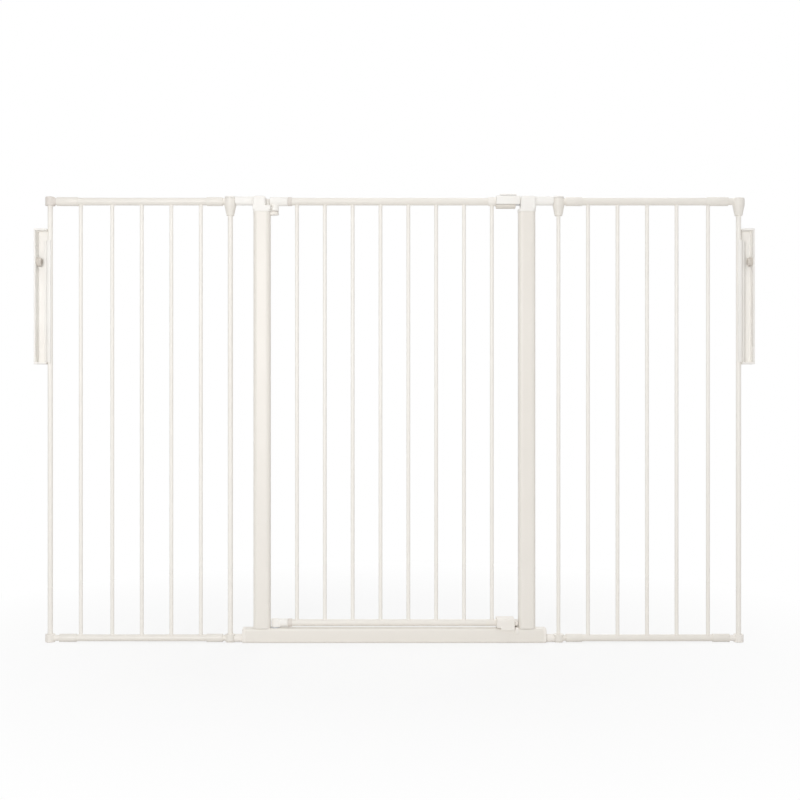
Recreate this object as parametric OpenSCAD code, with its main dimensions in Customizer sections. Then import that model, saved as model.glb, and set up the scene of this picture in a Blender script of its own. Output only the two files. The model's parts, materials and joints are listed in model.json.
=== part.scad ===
// Extra-tall safety gate for a wide opening. A door frame of two posts and a threshold stands in
// the middle, a barred door hangs in it, a barred panel is hinged to each side of it, and each
// outer end carries a wall bracket that turns about the end bar.
// The origin is on the floor, midway between the walls and in the plane of the bars. +Z is up,
// +X runs along the gate to the latch side, and the door opens towards -Y.

/* [Heights] */
// Height of the axis of the three top rails
rail_z = 1038; // [880:1:1100]
// Gap between the floor and the side panels' bottom collars
floor_gap = 0.5; // [0.3:0.1:3]
// Gap between the threshold and the door's bottom sleeve
door_clear = 2.5; // [2.5:0.1:9]

/* [Tubes and bars] */
// Diameter of the top rails
rail_d = 18; // [16:0.5:20]
// Diameter of the bottom rails of the door and of the side panels
low_rail_d = 16; // [15:0.5:18]
// Wall of the rails
rail_wall = 1.2; // [0.8:0.1:2]
// Diameter of the thin bars
bar_d = 9; // [7:0.5:10]
// Diameter of the outer end bars
end_bar_d = 12; // [10:0.5:14]
// Diameter of the hinge-side bar of the left panel
left_hinge_bar_d = 12; // [9:0.5:13]
// Diameter of the hinge-side bar of the right panel
right_hinge_bar_d = 9; // [8:0.5:13]
// Wall of the end bars
end_bar_wall = 1.5; // [1:0.1:2.5]
// Wall of the thin bars
bar_wall = 1; // [0.6:0.1:2]
// Widest gap allowed between two thin bars
max_gap = 65; // [50:1:75]

/* [Threshold] */
// Height of the threshold tube
threshold_h = 34; // [25:1:36]
// Depth of the threshold tube
threshold_d = 30; // [28:1:40]
// Corner radius of the threshold tube
threshold_r = 5; // [3:0.5:8]
// Wall of the threshold tube
threshold_wall = 1.5; // [1:0.1:2.5]
// Length of threshold outside each post, with the end cap
threshold_out = 25.5; // [18:0.5:34]
// Thickness of an end cap
end_cap_t = 8; // [4:0.5:12]

/* [Posts and caps] */
// Clear width of the doorway between the posts
doorway_w = 583; // [575:1:720]
// Width of a post
post_w = 40; // [34:1:46]
// Depth of a post
post_d = 30; // [26:1:34]
// Corner radius of a post
post_r = 10; // [5:0.5:12]
// Wall of a post
post_wall = 1.5; // [1:0.1:2.5]
// Distance from the top of a post up to the axis of the top rails
cap_drop = 25; // [24:0.5:32]
// Height of a cap above the axis of the top rails
cap_rise = 12; // [11.5:0.5:16]
// Height of a cap's flange
cap_flange_t = 6; // [3:0.5:8]
// How far a cap's flange stands out past the post
cap_lip = 1; // [0.4:0.1:1.6]
// Depth of a cap's spigot inside the post
cap_spigot_l = 20; // [10:1:40]
// Setback of the hinge-side cap from the doorway, above its flange
cap_inset_hinge = 11; // [9:0.5:14]
// Setback of the latch-side cap from the doorway, above its flange
cap_inset_latch = 4.5; // [3:0.5:7]
// Distance from the plane of the bars back to the front of the hinge-side cap's cheek
cheek_y = 3; // [1:0.5:6]
// Corner radius of the shelf under the door's top sleeve
shelf_round = 1.5; // [0.5:0.5:5]
// Clearance between that cheek and the sleeve that swings in it
cheek_gap = 0.4; // [0.3:0.1:1.5]
// Rounding of a cap's edges
cap_round = 5; // [2:0.5:8]
// Room beside, over and under the bolt in the latch-side cap
pocket_gap = 1.8; // [1.7:0.1:2.5]
// Room past the end of the bolt in the latch-side cap
pocket_end = 1.5; // [1.4:0.1:3]

/* [Door] */
// Distance from the door's hinge axis to its first bar
first_bar_off = 51.4; // [48:0.1:60]
// Distance from the handle's cover back to the last bar
last_bar_off = 9.4; // [7:0.1:14]
// Distance from the hinge post's face to the door's hinge axis
hinge_off = 10.5; // [10.2:0.1:14]
// Diameter of the hinge pins
pin_d = 8; // [6:0.5:8.5]
// Outer diameter of the bushings on the hinge pins
bush_d = 12.6; // [12:0.1:13]
// Diameter of a bushing's flange
bush_flange_d = 16; // [15:0.5:16.5]
// Thickness of a bushing's flange
bush_flange_t = 1.9; // [1.2:0.1:2.2]
// Thickness of the top hinge lug
lug_t = 7; // [5:0.5:10]
// Thickness of the bottom hinge plate on the threshold
pivot_t = 2.2; // [1.5:0.1:2.5]
// Gap between the bottom hinge plate and the post
pivot_gap = 0.4; // [0.2:0.1:1]
// Outer diameter of the door's vertical hinge barrels
barrel_d = 17; // [16.5:0.1:17.6]
// Length of the door's hinge sleeves, measured from the hinge axis
sleeve_l = 30; // [25:0.5:34]
// How far the top sleeve runs past the hinge axis towards the post
sleeve_back = 12; // [9:0.5:13]
// Wall of sleeves and collars round a rail
collar_t = 1.5; // [1:0.1:2]
// Width of the dark ring beside a door sleeve
ring_w = 10; // [6:0.5:12]
// Wall between a hinge bushing and the end of the rail
bore_wall = 4.7; // [3:0.1:6]
// Lift of the door on its hinge pins
lift = 8; // [5:0.5:8]
// Length of the top hinge pin that is left in its bushing at full lift
pin_hold_top = 23; // [14:0.5:24]
// Length of the bottom hinge pin that is left in its bushing at full lift
pin_hold_low = 8.3; // [6:0.1:13]
// How far a hinge bushing ends below the end of its pin
bush_short = 1; // [0.5:0.1:3]

/* [Handle and latch] */
// Length of the handle's cover
handle_l = 56.4; // [53:0.1:57]
// Depth of the handle
handle_d = 30; // [26:1:34]
// Height of the handle below the axis of the top rail
handle_down = 17; // [12:0.5:20]
// Height of the handle above the axis of the top rail
handle_up = 13; // [11:0.5:15]
// Rounding of the handle's long edges
handle_r = 6; // [3:0.5:7]
// Rounding of the upright corners of the handle, the slider and the lock block
corner_round = 4; // [2:0.5:5]
// Depth of the handle's parting line below the axis of the top rail
parting_down = 8; // [1:0.1:8.5]
// Height of the bolt's top above the axis of the top rail
bolt_up = 0.7; // [0.2:0.1:1.2]
// Length of the top rail inside the handle
rail_in_handle = 19; // [12:0.5:22]
// Length of the handle's lower shell
handle_shell_l = 46; // [38:0.5:48]
// Setback of the lower shell's faces from the cover's
shell_in = 4; // [0:0.5:4.5]
// Length of the nose collar in front of the handle
nose_l = 17.5; // [12:0.5:18]
// Width of the latch bolt
bolt_w = 13; // [8:0.5:14]
// Height of the latch bolt
bolt_h = 9.7; // [6:0.1:10]
// Room between the end of the top rail and the drawn bolt
bolt_room = 4; // [2:0.5:6]
// How far the drawn bolt stays inside the end of the handle
bolt_inset = 0.4; // [0.2:0.1:1]
// Travel of the latch bolt
latch_travel = 8; // [5:0.5:8]
// Length of the bolt's stem
stem_l = 14; // [10:0.5:16]
// Width of the bolt's stem
stem_w = 8; // [5:0.5:10]
// Setback of the stem from the back of the bolt
stem_set = 1; // [0.5:0.1:3]
// Length of the thumb slider
slider_l = 39; // [28:0.5:39]
// Width of the thumb slider
slider_w = 22; // [16:0.5:24]
// Height of the thumb slider
slider_h = 4.2; // [3:0.1:6]

/* [Bottom lock] */
// Length of the door's bottom lock block
lock_l = 42; // [34:0.5:43]
// Depth of the bottom lock block
lock_d = 40; // [30:0.5:44]
// Gap between the lock block and the threshold, and between it and the keeper
lock_gap = 1.5; // [0.8:0.1:3]
// Solid end of the lock block past the end of the rail
lock_end_t = 10; // [6:0.5:14]
// Height of the lock block above the axis of the door's bottom rail
lock_up = 12; // [11.2:0.1:15]
// Length of the lip that hangs from the lock block in front of the threshold
lip_l = 32; // [20:0.5:34]
// How far that lip reaches below the top of the threshold
lip_down = 3.5; // [1:0.1:6]
// Width of the lock block's tongue
tongue_w = 18; // [10:0.5:20]
// Height of the lock block's tongue
tongue_h = 10; // [6:0.5:12]
// Gap between the keeper and the tongue over it
tongue_gap = 3.3; // [1:0.1:5]
// Thickness of the keeper's walls
keeper_t = 2.7; // [2:0.1:3]
// Length of the keeper along the threshold
keeper_l = 7.7; // [5:0.1:8]
// Height of the keeper's flaps down the threshold
keeper_down = 11; // [6:0.5:16]
// Height of the keeper's stop above the threshold
keeper_up = 17; // [13:0.5:20]

/* [Side panels] */
// Distance from a post's outer face to a side panel's hinge axis
arm_l = 55.1; // [50:0.1:66]
// Distance between the axes of a side panel's hinge bar and end bar
side_w = 424.4; // [340:0.1:640]
// Distance from the last thin bar to the end bar
end_gap = 72; // [60:0.5:76]
// Distance between the last two thin bars
last_gap = 74; // [60:0.5:76]
// Radius of the hinge knuckles
knuckle_r = 14; // [13:0.5:15]
// Radius of a knuckle at the foot of its taper
knuckle_foot_r = 9; // [8.5:0.1:11]
// Distance from the rail axis down to the foot of the taper
knuckle_drop = 34; // [28:0.5:40]
// Gap between an arm and its knuckle
knuckle_gap = 1; // [0.6:0.1:2]
// Length of a hinge-side bar inside its top knuckle
bar_in_knuckle = 6; // [4:0.5:10]
// Depth of a bar's socket in a bottom fitting
socket_l = 7; // [5:0.5:8]
// Wall between a bar's socket and the hinge pin's bore
socket_wall = 1.5; // [1:0.1:2]
// How far an end bar reaches above the axis of the top rail
end_bar_up = 2; // [0:0.5:5]
// Radius of the straight corner fittings
corner_r = 11.5; // [9.5:0.5:12.5]
// Step between a fitting and the tube or cap beside it
fit_step = 1; // [0.5:0.1:2]
// Radius of the bottom hinge knuckles
foot_knuckle_r = 12; // [11:0.5:14]
// Distance from a knuckle's axis to the end of the rail
hinge_reach = 17.4; // [16.5:0.1:22]
// Distance from the left end bar's axis to the end of the top rail
outer_reach_left = 16; // [15:0.5:20]
// Distance from the right end bar's axis to the end of the top rail
outer_reach_right = 25; // [18:0.5:28]
// Distance from an end bar's axis to the end of the bottom rail
outer_reach_low = 22; // [16:0.5:26]
// Length of a collar at the hinge side
hinge_collar_l = 38; // [28:0.5:44]
// Length of a top collar at the outer end
outer_collar_l = 50; // [36:0.5:56]
// Length of a bottom collar at the outer end
low_collar_l = 40; // [30:0.5:50]
// Length of a fitting's spigot inside a rail
spigot_l = 26; // [15:0.5:40]
// Depth of the side arms
arm_d = 18; // [12:0.5:22]
// Rounding of the side arms
arm_round = 8; // [1:0.5:8.5]
// Thickness of the arm's lug above a knuckle
arm_lug_t = 3.5; // [2.5:0.1:4.5]
// Diameter of the panel hinge pins
panel_pin_d = 9; // [7:0.5:9]
// Thickness of the foot plate under a bottom knuckle
foot_t = 4.2; // [3:0.1:5]

/* [Wall brackets] */
// Distance from an end bar's axis to the wall
wall_gap = 35; // [32:0.5:45]
// Height of a wall bracket
plate_h = 319; // [260:1:340]
// Depth of a wall bracket, front to back
plate_w = 27; // [27:1:40]
// Distance from the axis of the top rails down to a bracket's top
plate_drop = 64.5; // [50:0.1:400]
// Thickness of the side of a bracket that lies against the wall
plate_t = 4; // [3:0.1:5]
// Thickness of a bracket's back
plate_back_t = 3; // [2:0.1:4]
// Thickness of a bracket's top and bottom ends
plate_end_t = 4.5; // [2:0.1:8]
// Gap between the end bar and the bracket's back and ends
plate_gap = 0.5; // [0.3:0.1:2]
// Distance from each end of a bracket to its screw hole
screw_inset = 40; // [20:1:60]
// Diameter of the screw holes
screw_hole_d = 5.2; // [4:0.1:6.5]
// Diameter of the countersinks
countersink_d = 9; // [8:0.1:12]
// Depth of the countersinks
countersink_t = 1.2; // [0.6:0.1:2]
// Diameter of the dark knob in a bracket
knob_d = 20; // [14:0.5:22]
// Thickness of the knob
knob_t = 11; // [4:0.1:12]
// Distance from a bracket's top down to the axis of the knob
knob_drop = 77.5; // [70:0.5:160]
// Diameter of the knob's shaft in the bracket
knob_shaft_d = 11; // [8:0.5:12]
// Distance from a bracket's top down to the top of its jaw
jaw_setback = 27; // [9:1:120]
// Wall of the jaw round the bar
jaw_wall = 3.8; // [2.5:0.1:4.5]
// Distance from the axis of the end bar to the open edge of the jaw
jaw_mouth = 3; // [1:0.5:4.5]
// Angle by which the jaw's mouth is turned to the front
jaw_turn = 0; // [0:1:70]
// Length of the jaw's block past its wall
jaw_block_l = 5; // [3:0.5:7]

/* [Clearances] */
// Radial clearance of a pin in its bore
pin_gap = 0.15; // [0.05:0.01:0.3]
// Clearance of a fixed spigot or collar on its tube
seat_gap = 0.1; // [0.05:0.01:0.25]
// Clearance between pieces that slide or turn past each other
run_gap = 0.3; // [0.2:0.05:0.6]
// Clearance between the end of a hinge pin and its bore
end_clear = 0.8; // [0.4:0.1:1.5]
// Gap between the handle and its nose collar
nose_gap = 0.5; // [0.3:0.1:1]

/* [Hidden] */
$fn = 64;
eps = 0.01;
enamel = [0.93, 0.90, 0.85];
moulding = [0.96, 0.95, 0.92];
shade = [0.80, 0.77, 0.73];
dark = [0.72, 0.68, 0.64];
steel = [0.72, 0.73, 0.74];

rail_r = rail_d / 2;
low_r = low_rail_d / 2;
sleeve_r = rail_r + collar_t;
low_collar_r = low_r + collar_t;
side_z = floor_gap + low_collar_r;
door_z = threshold_h + door_clear + low_collar_r;

post_in = doorway_w / 2;
post_x = post_in + post_w / 2;
post_out = post_in + post_w;
threshold_x = post_out + threshold_out;
post_top = rail_z - cap_drop;
flange_top = post_top + cap_flange_t;
cap_top = rail_z + cap_rise;
cap_out = post_out + cap_lip;
cap_d = post_d + 2 * cap_lip;

// door hinge
axis_x = -post_in + hinge_off;
lug_top = post_top;
top_flange_z = lug_top + run_gap;
barrel_top_z = top_flange_z + bush_flange_t + run_gap;
pivot_top = threshold_h + pivot_t;
low_flange_z = pivot_top + run_gap;
barrel_low_z = low_flange_z + bush_flange_t + run_gap;
top_pin_z = lug_top + lift + pin_hold_top;
low_pin_z = pivot_top + lift + pin_hold_low;
bush_r = bush_d / 2;
rail_in_x = axis_x + bush_r + bore_wall;

// handle, latch and bottom lock
keep_x = post_in + cap_inset_latch;
handle_x1 = keep_x - 2 * run_gap;
handle_x0 = handle_x1 - handle_l;
shell_x1 = handle_x0 + handle_shell_l;
split_z = rail_z - parting_down;
rail_out_x = handle_x0 + rail_in_handle;
bolt_x0 = rail_out_x + bolt_room;
bolt_x1 = handle_x1 - bolt_inset;
bolt_z1 = rail_z + bolt_up;
bolt_z0 = bolt_z1 - bolt_h;
handle_top = rail_z + handle_up;
slider_x0 = bolt_x1 - latch_travel - slider_l;
stem_x0 = bolt_x0 + stem_set;
stem_x1 = stem_x0 + stem_l;
keeper_x0 = post_in - run_gap - keeper_l;
lock_x1 = keeper_x0 - lock_gap;
lock_x0 = lock_x1 - lock_l;
lock_rail_x = lock_x1 - lock_end_t;
lock_z0 = threshold_h + lock_gap;
tongue_z0 = threshold_h + keeper_t + tongue_gap;
stop_y = tongue_w / 2 + run_gap;

// side panels, drawn on the right and mirrored for the left
hinge_x = post_out + arm_l;
end_x = hinge_x + side_w;
knuckle_top = cap_top - arm_lug_t - run_gap;
arm_r = min(arm_round, arm_d / 2 - eps);
foot_top = floor_gap + foot_t;
foot_knuckle_z = foot_top + run_gap;
taper_z = rail_z - knuckle_drop;
knuckle_bar_z = taper_z + bar_in_knuckle;
panel_bore_z = knuckle_bar_z + socket_wall;
fitting_low_top = side_z + low_r + fit_step;
socket_z = fitting_low_top - socket_l;
foot_bore_z = socket_z - socket_wall;

// thin bars: evenly spread, with as many as the widest gap allows; a side panel's last one
// keeps its own distances
function spread(x0, x1) =
  let (n = ceil((x1 - x0) / (max_gap + bar_d)))
  [for (k = [0 : n]) x0 + k * (x1 - x0) / n];
door_x = spread(axis_x + first_bar_off, handle_x0 - last_bar_off);
last_x = end_x - end_gap;
even_x = spread(hinge_x, last_x - last_gap);
side_x = [for (k = [1 : len(even_x)]) k < len(even_x) ? even_x[k] : last_x];

// wall brackets
wall_x = end_x + wall_gap;
plate_top = rail_z - plate_drop;
plate_z = plate_top - plate_h;
jaw_top = plate_top - jaw_setback;
jaw_r = end_bar_d / 2 + jaw_wall;
plate_x = end_x + end_bar_d / 2 + plate_gap;
side_x0 = wall_x - plate_t;
back_y = plate_w / 2 - plate_back_t;
hole_y = -plate_back_t / 2;
knob_z = plate_top - knob_drop;

// ---- shared shapes ----

module on_side(s) {
  if (s < 0) mirror([1, 0, 0]) children();
  else children();
}

module rod_z(r, x, z0, z1, y = 0) {
  translate([x, y, z0]) cylinder(r = r, h = z1 - z0);
}

module rod_x(r, x0, x1, z) {
  translate([x0, 0, z]) rotate([0, 90, 0]) cylinder(r = r, h = x1 - x0);
}

module pipe_x(r, wall, x0, x1, z) {
  difference() {
    rod_x(r, x0, x1, z);
    rod_x(r - wall, x0 - 1, x1 + 1, z);
  }
}

module pipe_z(r, wall, x, z0, z1) {
  difference() {
    rod_z(r, x, z0, z1);
    rod_z(r - wall, x, z0 - 1, z1 + 1);
  }
}

module block(x0, x1, y0, y1, z0, z1) {
  translate([x0, y0, z0]) cube([x1 - x0, y1 - y0, z1 - z0]);
}

module rounded(w, d, r) {
  square([w - 2 * r, d], center = true);
  square([w, d - 2 * r], center = true);
  for (x = [-1, 1]) for (y = [-1, 1])
    translate([x * (w / 2 - r), y * (d / 2 - r)]) circle(r = r);
}

// a rounded section in Y and Z, drawn along X
module beam_x(x0, x1, d, z0, z1, r) {
  translate([x0, 0, (z0 + z1) / 2]) rotate([90, 0, 90])
    linear_extrude(x1 - x0) rounded(d, z1 - z0, r);
}

// a rounded section in X and Z, drawn along Y
module beam_y(x0, x1, d, z0, z1, r) {
  translate([(x0 + x1) / 2, d / 2, (z0 + z1) / 2]) rotate([90, 0, 0])
    linear_extrude(d) rounded(x1 - x0, z1 - z0, r);
}

// a rounded section in X and Y, drawn along Z
module beam_z(x0, x1, d, z0, z1, r) {
  translate([(x0 + x1) / 2, 0, z0]) linear_extrude(z1 - z0) rounded(x1 - x0, d, r);
}

// ---- door frame ----

module threshold() {
  color(enamel) difference() {
    beam_x(-threshold_x + end_cap_t, threshold_x - end_cap_t, threshold_d, 0, threshold_h,
      threshold_r);
    beam_x(-threshold_x, threshold_x, threshold_d - 2 * threshold_wall, threshold_wall,
      threshold_h - threshold_wall, threshold_r - threshold_wall);
  }
}

module threshold_end_caps() {
  inset = threshold_wall + seat_gap;
  color(moulding) for (s = [-1, 1]) on_side(s) {
    beam_x(threshold_x - end_cap_t, threshold_x, threshold_d, 0, threshold_h, threshold_r);
    beam_x(threshold_x - end_cap_t - 12, threshold_x - end_cap_t + eps,
      threshold_d - 2 * inset, inset, threshold_h - inset, threshold_r - threshold_wall);
  }
}

module post(s) {
  color(enamel) on_side(s) difference() {
    beam_z(post_in, post_out, post_d, threshold_h, post_top, post_r);
    beam_z(post_in + post_wall, post_out - post_wall, post_d - 2 * post_wall, threshold_h - 1,
      post_top + 1, post_r - post_wall);
  }
}

module cap_body(inset) {
  intersection() {
    beam_y(post_in + inset, cap_out, cap_d, flange_top - cap_round * 2, cap_top, cap_round);
    beam_x(post_in + inset - 1, cap_out + 1, cap_d, flange_top - cap_round * 2, cap_top,
      cap_round);
    block(post_in, cap_out + 1, -cap_d, cap_d, flange_top, cap_top + 1);
  }
  beam_z(post_in - cap_lip, cap_out, cap_d, post_top, flange_top, post_r);
  gap = post_wall + seat_gap;
  beam_z(post_in + gap, post_out - gap, post_d - 2 * gap, post_top - cap_spigot_l,
    post_top + eps, post_r - post_wall);
}

// a shelf under the door's top sleeve, and a cheek behind it that is hollowed round the
// sleeve's swing
module hinge_cheek() {
  x1 = post_in + cap_inset_hinge + cap_lip;
  difference() {
    block(post_in - cap_lip, x1, cheek_y, cap_d / 2, flange_top - eps, cap_top - cap_round);
    rod_z(norm([sleeve_back, sleeve_r]) + cheek_gap, -axis_x, post_top, cap_top + 1);
  }
  intersection() {
    beam_z(post_in - cap_lip, cap_out, cap_d, flange_top - eps, rail_z - sleeve_r - run_gap,
      shelf_round);
    block(post_in - cap_lip - 1, x1, -cap_d, cap_d, post_top, cap_top);
  }
}

module post_cap_left() {
  color(moulding) on_side(-1) {
    cap_body(cap_inset_hinge);
    hinge_cheek();
  }
}

module post_cap_right() {
  color(moulding) difference() {
    cap_body(cap_inset_latch);
    block(keep_x - 1, keep_x + latch_travel + pocket_end, -bolt_w / 2 - pocket_gap,
      bolt_w / 2 + pocket_gap, bolt_z0 - pocket_gap, bolt_z1 + pocket_gap);
  }
}

// the arm leaves the cap, ends round the knuckle and carries a lug with a pin above it
module top_arm(s) {
  arm_z0 = rail_z - rail_r;
  color(moulding) on_side(s) {
    difference() {
      beam_x(cap_out, hinge_x, arm_d, arm_z0, cap_top, arm_r);
      rod_z(knuckle_r + knuckle_gap, hinge_x, arm_z0 - 1, cap_top - arm_lug_t);
    }
    rod_z(knuckle_r - knuckle_gap, hinge_x, cap_top - arm_lug_t, cap_top);
    rod_z(panel_pin_d / 2, hinge_x, panel_bore_z + run_gap, cap_top - arm_lug_t / 2);
  }
}

// the foot plate runs under the bottom knuckle and carries a pin up into it
module bottom_arm(s) {
  color(moulding) on_side(s) {
    difference() {
      beam_x(threshold_x, hinge_x, arm_d, floor_gap, fitting_low_top, arm_r);
      rod_z(foot_knuckle_r + knuckle_gap, hinge_x, foot_top, fitting_low_top + 1);
    }
    rod_z(foot_knuckle_r - knuckle_gap, hinge_x, floor_gap, foot_top);
    rod_z(pin_d / 2, hinge_x, foot_top - foot_t / 2, foot_bore_z - run_gap);
  }
}

module top_hinge_lug() {
  color(enamel) {
    block(-post_in, axis_x, -barrel_d / 2, barrel_d / 2, lug_top - lug_t, lug_top);
    rod_z(barrel_d / 2, axis_x, lug_top - lug_t, lug_top);
    rod_z(pin_d / 2, axis_x, lug_top - lug_t / 2, top_pin_z);
  }
}

module bottom_hinge_pivot() {
  color(steel) {
    rod_z(hinge_off - pivot_gap, axis_x, threshold_h, pivot_top);
    rod_z(pin_d / 2, axis_x, threshold_h + pivot_t / 2, low_pin_z);
  }
}

// a saddle over the threshold, with a stop behind the door's tongue
module bottom_keeper() {
  half = threshold_d / 2 + keeper_t;
  color(moulding) {
    difference() {
      block(keeper_x0, keeper_x0 + keeper_l, -half, half, threshold_h - keeper_down,
        threshold_h + keeper_t);
      beam_x(keeper_x0 - 1, keeper_x0 + keeper_l + 1, threshold_d, 0, threshold_h, threshold_r);
    }
    block(keeper_x0, keeper_x0 + keeper_l, stop_y, half, threshold_h + keeper_t / 2,
      threshold_h + keeper_up);
  }
}

// ---- door ----

module bushing(z0, z1) {
  difference() {
    union() {
      rod_z(bush_flange_d / 2, axis_x, z0, z0 + bush_flange_t);
      rod_z(bush_r, axis_x, z0, z1);
    }
    rod_z(pin_d / 2 + pin_gap, axis_x, z0 - 1, z1 + 1);
  }
}

module hinge_bushings() {
  color(shade) {
    bushing(top_flange_z, top_pin_z - bush_short);
    bushing(low_flange_z, low_pin_z - bush_short);
  }
}

module door_top_rail() {
  color(enamel) pipe_x(rail_r, rail_wall, rail_in_x, rail_out_x, rail_z);
}

module door_bottom_rail() {
  color(enamel) pipe_x(low_r, rail_wall, rail_in_x, lock_rail_x, door_z);
}

// thin bars between two rails, with their ends cut to sit on them
module thin_bars(xs, z0, r0, z1, r1) {
  for (x = xs) difference() {
    pipe_z(bar_d / 2, bar_wall, x, z0, z1);
    rod_x(r0, x - bar_d, x + bar_d, z0);
    rod_x(r1, x - bar_d, x + bar_d, z1);
  }
}

module door_bars() {
  color(enamel) thin_bars(door_x, door_z, low_r, rail_z, rail_r);
}

// each hinge has a barrel round its bushing and a sleeve round the rail's end
module door_top_hinge() {
  color(moulding) difference() {
    union() {
      rod_z(barrel_d / 2, axis_x, barrel_top_z, rail_z);
      rod_x(sleeve_r, axis_x - sleeve_back, axis_x + sleeve_l, rail_z);
    }
    rod_z(bush_r + pin_gap, axis_x, barrel_top_z - 1, top_pin_z + end_clear);
    rod_x(rail_r + seat_gap, rail_in_x - seat_gap, axis_x + sleeve_l + 1, rail_z);
  }
}

module door_bottom_hinge() {
  color(moulding) difference() {
    union() {
      rod_z(barrel_d / 2, axis_x, barrel_low_z, door_z + low_collar_r);
      block(axis_x, rail_in_x + collar_t, -barrel_d / 2 + run_gap, barrel_d / 2 - run_gap,
        barrel_low_z, door_z + low_r);
      rod_x(low_collar_r, rail_in_x - collar_t, axis_x + sleeve_l, door_z);
    }
    rod_z(bush_r + pin_gap, axis_x, barrel_low_z - 1, low_pin_z + end_clear);
    rod_x(low_r + seat_gap, rail_in_x - seat_gap, axis_x + sleeve_l + 1, door_z);
  }
}

module door_sleeve_rings() {
  x0 = axis_x + sleeve_l;
  color(shade) {
    pipe_x(sleeve_r, collar_t - seat_gap, x0, x0 + ring_w, rail_z);
    pipe_x(low_collar_r, collar_t - seat_gap, x0, x0 + ring_w, door_z);
  }
}

module handle_nose() {
  nose_x1 = handle_x0 - nose_gap;
  color(moulding) difference() {
    pipe_x(sleeve_r, collar_t - seat_gap, nose_x1 - nose_l, nose_x1, rail_z);
    for (x = door_x) rod_z(bar_d / 2 + seat_gap, x, rail_z - rail_d, rail_z);
  }
}

module handle_outline(x1, d) {
  intersection() {
    beam_x(handle_x0, x1, d, rail_z - handle_down, handle_top, handle_r);
    beam_z(handle_x0, handle_x1, d, rail_z - handle_down - 1, handle_top + 1, corner_round);
  }
}

module handle_shell() {
  color(moulding) difference() {
    handle_outline(shell_x1, handle_d - 2 * shell_in);
    block(handle_x0 - 1, handle_x1 + 1, -handle_d, handle_d, split_z, handle_top + 1);
    rod_x(rail_r + seat_gap, handle_x0 - 1, rail_out_x + seat_gap, rail_z);
    block(bolt_x0 - run_gap, handle_x1 + 1, -bolt_w / 2 - run_gap, bolt_w / 2 + run_gap,
      bolt_z0 - run_gap, handle_top);
  }
}

module handle_cover() {
  color(moulding) difference() {
    handle_outline(handle_x1, handle_d);
    block(handle_x0 - 1, handle_x1 + 1, -handle_d, handle_d, rail_z - handle_down - 1, split_z);
    rod_x(rail_r + seat_gap, handle_x0 - 1, rail_out_x + seat_gap, rail_z);
    block(bolt_x0 - run_gap, handle_x1 + 1, -bolt_w / 2 - run_gap, bolt_w / 2 + run_gap,
      split_z - 1, bolt_z1 + run_gap);
    block(stem_x0 - run_gap, stem_x1 + latch_travel + run_gap, -stem_w / 2 - run_gap,
      stem_w / 2 + run_gap, split_z - 1, handle_top + 1);
  }
}

module latch_bolt() {
  color(steel) {
    block(bolt_x0, bolt_x1, -bolt_w / 2, bolt_w / 2, bolt_z0, bolt_z1);
    block(stem_x0, stem_x1, -stem_w / 2, stem_w / 2, bolt_z1 - 1, handle_top + run_gap);
  }
}

module latch_slider() {
  color(moulding)
    beam_z(slider_x0, slider_x0 + slider_l, slider_w, handle_top + run_gap,
      handle_top + run_gap + slider_h, corner_round);
}

module lock_block() {
  color(moulding) difference() {
    union() {
      beam_x(lock_x0, lock_x1, lock_d, lock_z0, door_z + lock_up, corner_round);
      block(lock_x1 - lip_l, lock_x1, -lock_d / 2, -threshold_d / 2 - lock_gap,
        threshold_h - lip_down, lock_z0 + corner_round);
      block(lock_x1 - lock_end_t / 2, post_in - 3 * run_gap, -tongue_w / 2, tongue_w / 2,
        tongue_z0, tongue_z0 + tongue_h);
    }
    rod_x(low_r + seat_gap, lock_x0 - 1, lock_rail_x + seat_gap, door_z);
  }
}

// ---- side panels ----

module side_rail(s, z, r, reach) {
  color(enamel) on_side(s) pipe_x(r, rail_wall, hinge_x + hinge_reach, end_x - reach, z);
}

module side_bars(s) {
  color(enamel) on_side(s) thin_bars(side_x, side_z, low_r, rail_z, rail_r);
}

module end_bar(s) {
  color(enamel) on_side(s)
    pipe_z(end_bar_d / 2, end_bar_wall, end_x, socket_z, rail_z + end_bar_up);
}

module hinge_bar(s, d) {
  color(enamel) on_side(s)
    pipe_z(d / 2, end_bar_wall, hinge_x, socket_z, knuckle_bar_z);
}

// a neck and a spigot that joins a fitting to a rail; dir is +1 towards the wall
module rail_stub(x, dir, reach, z, r) {
  inner = r - rail_wall - seat_gap;
  end = x + dir * (reach + spigot_l);
  rod_x(inner, min(x, end), max(x, end), z);
  neck = x + dir * reach;
  rod_x(r - fit_step, min(x, neck), max(x, neck), z);
}

module taper(x) {
  translate([x, 0, taper_z])
    cylinder(r1 = knuckle_foot_r, r2 = knuckle_r, h = knuckle_drop - rail_r);
  rod_z(knuckle_r, x, rail_z - rail_r, knuckle_top);
}

module top_knuckle(s, d) {
  color(enamel) on_side(s) difference() {
    union() {
      taper(hinge_x);
      rail_stub(hinge_x, 1, hinge_reach, rail_z, rail_r);
    }
    rod_z(panel_pin_d / 2 + pin_gap, hinge_x, panel_bore_z, cap_top);
    rod_z(d / 2 + seat_gap, hinge_x, taper_z - 1, knuckle_bar_z);
  }
}

module bottom_knuckle(s, d) {
  color(enamel) on_side(s) difference() {
    union() {
      rod_z(foot_knuckle_r, hinge_x, foot_knuckle_z, fitting_low_top);
      intersection() {
        rail_stub(hinge_x, 1, hinge_reach, side_z, low_r);
        block(hinge_x, end_x, -low_rail_d, low_rail_d, foot_knuckle_z, rail_z);
      }
      rail_stub(hinge_x + foot_knuckle_r, 1, hinge_reach - foot_knuckle_r, side_z, low_r);
    }
    rod_z(pin_d / 2 + pin_gap, hinge_x, foot_knuckle_z - 1, foot_bore_z);
    rod_z(d / 2 + seat_gap, hinge_x, socket_z, fitting_low_top + 1);
  }
}

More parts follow.
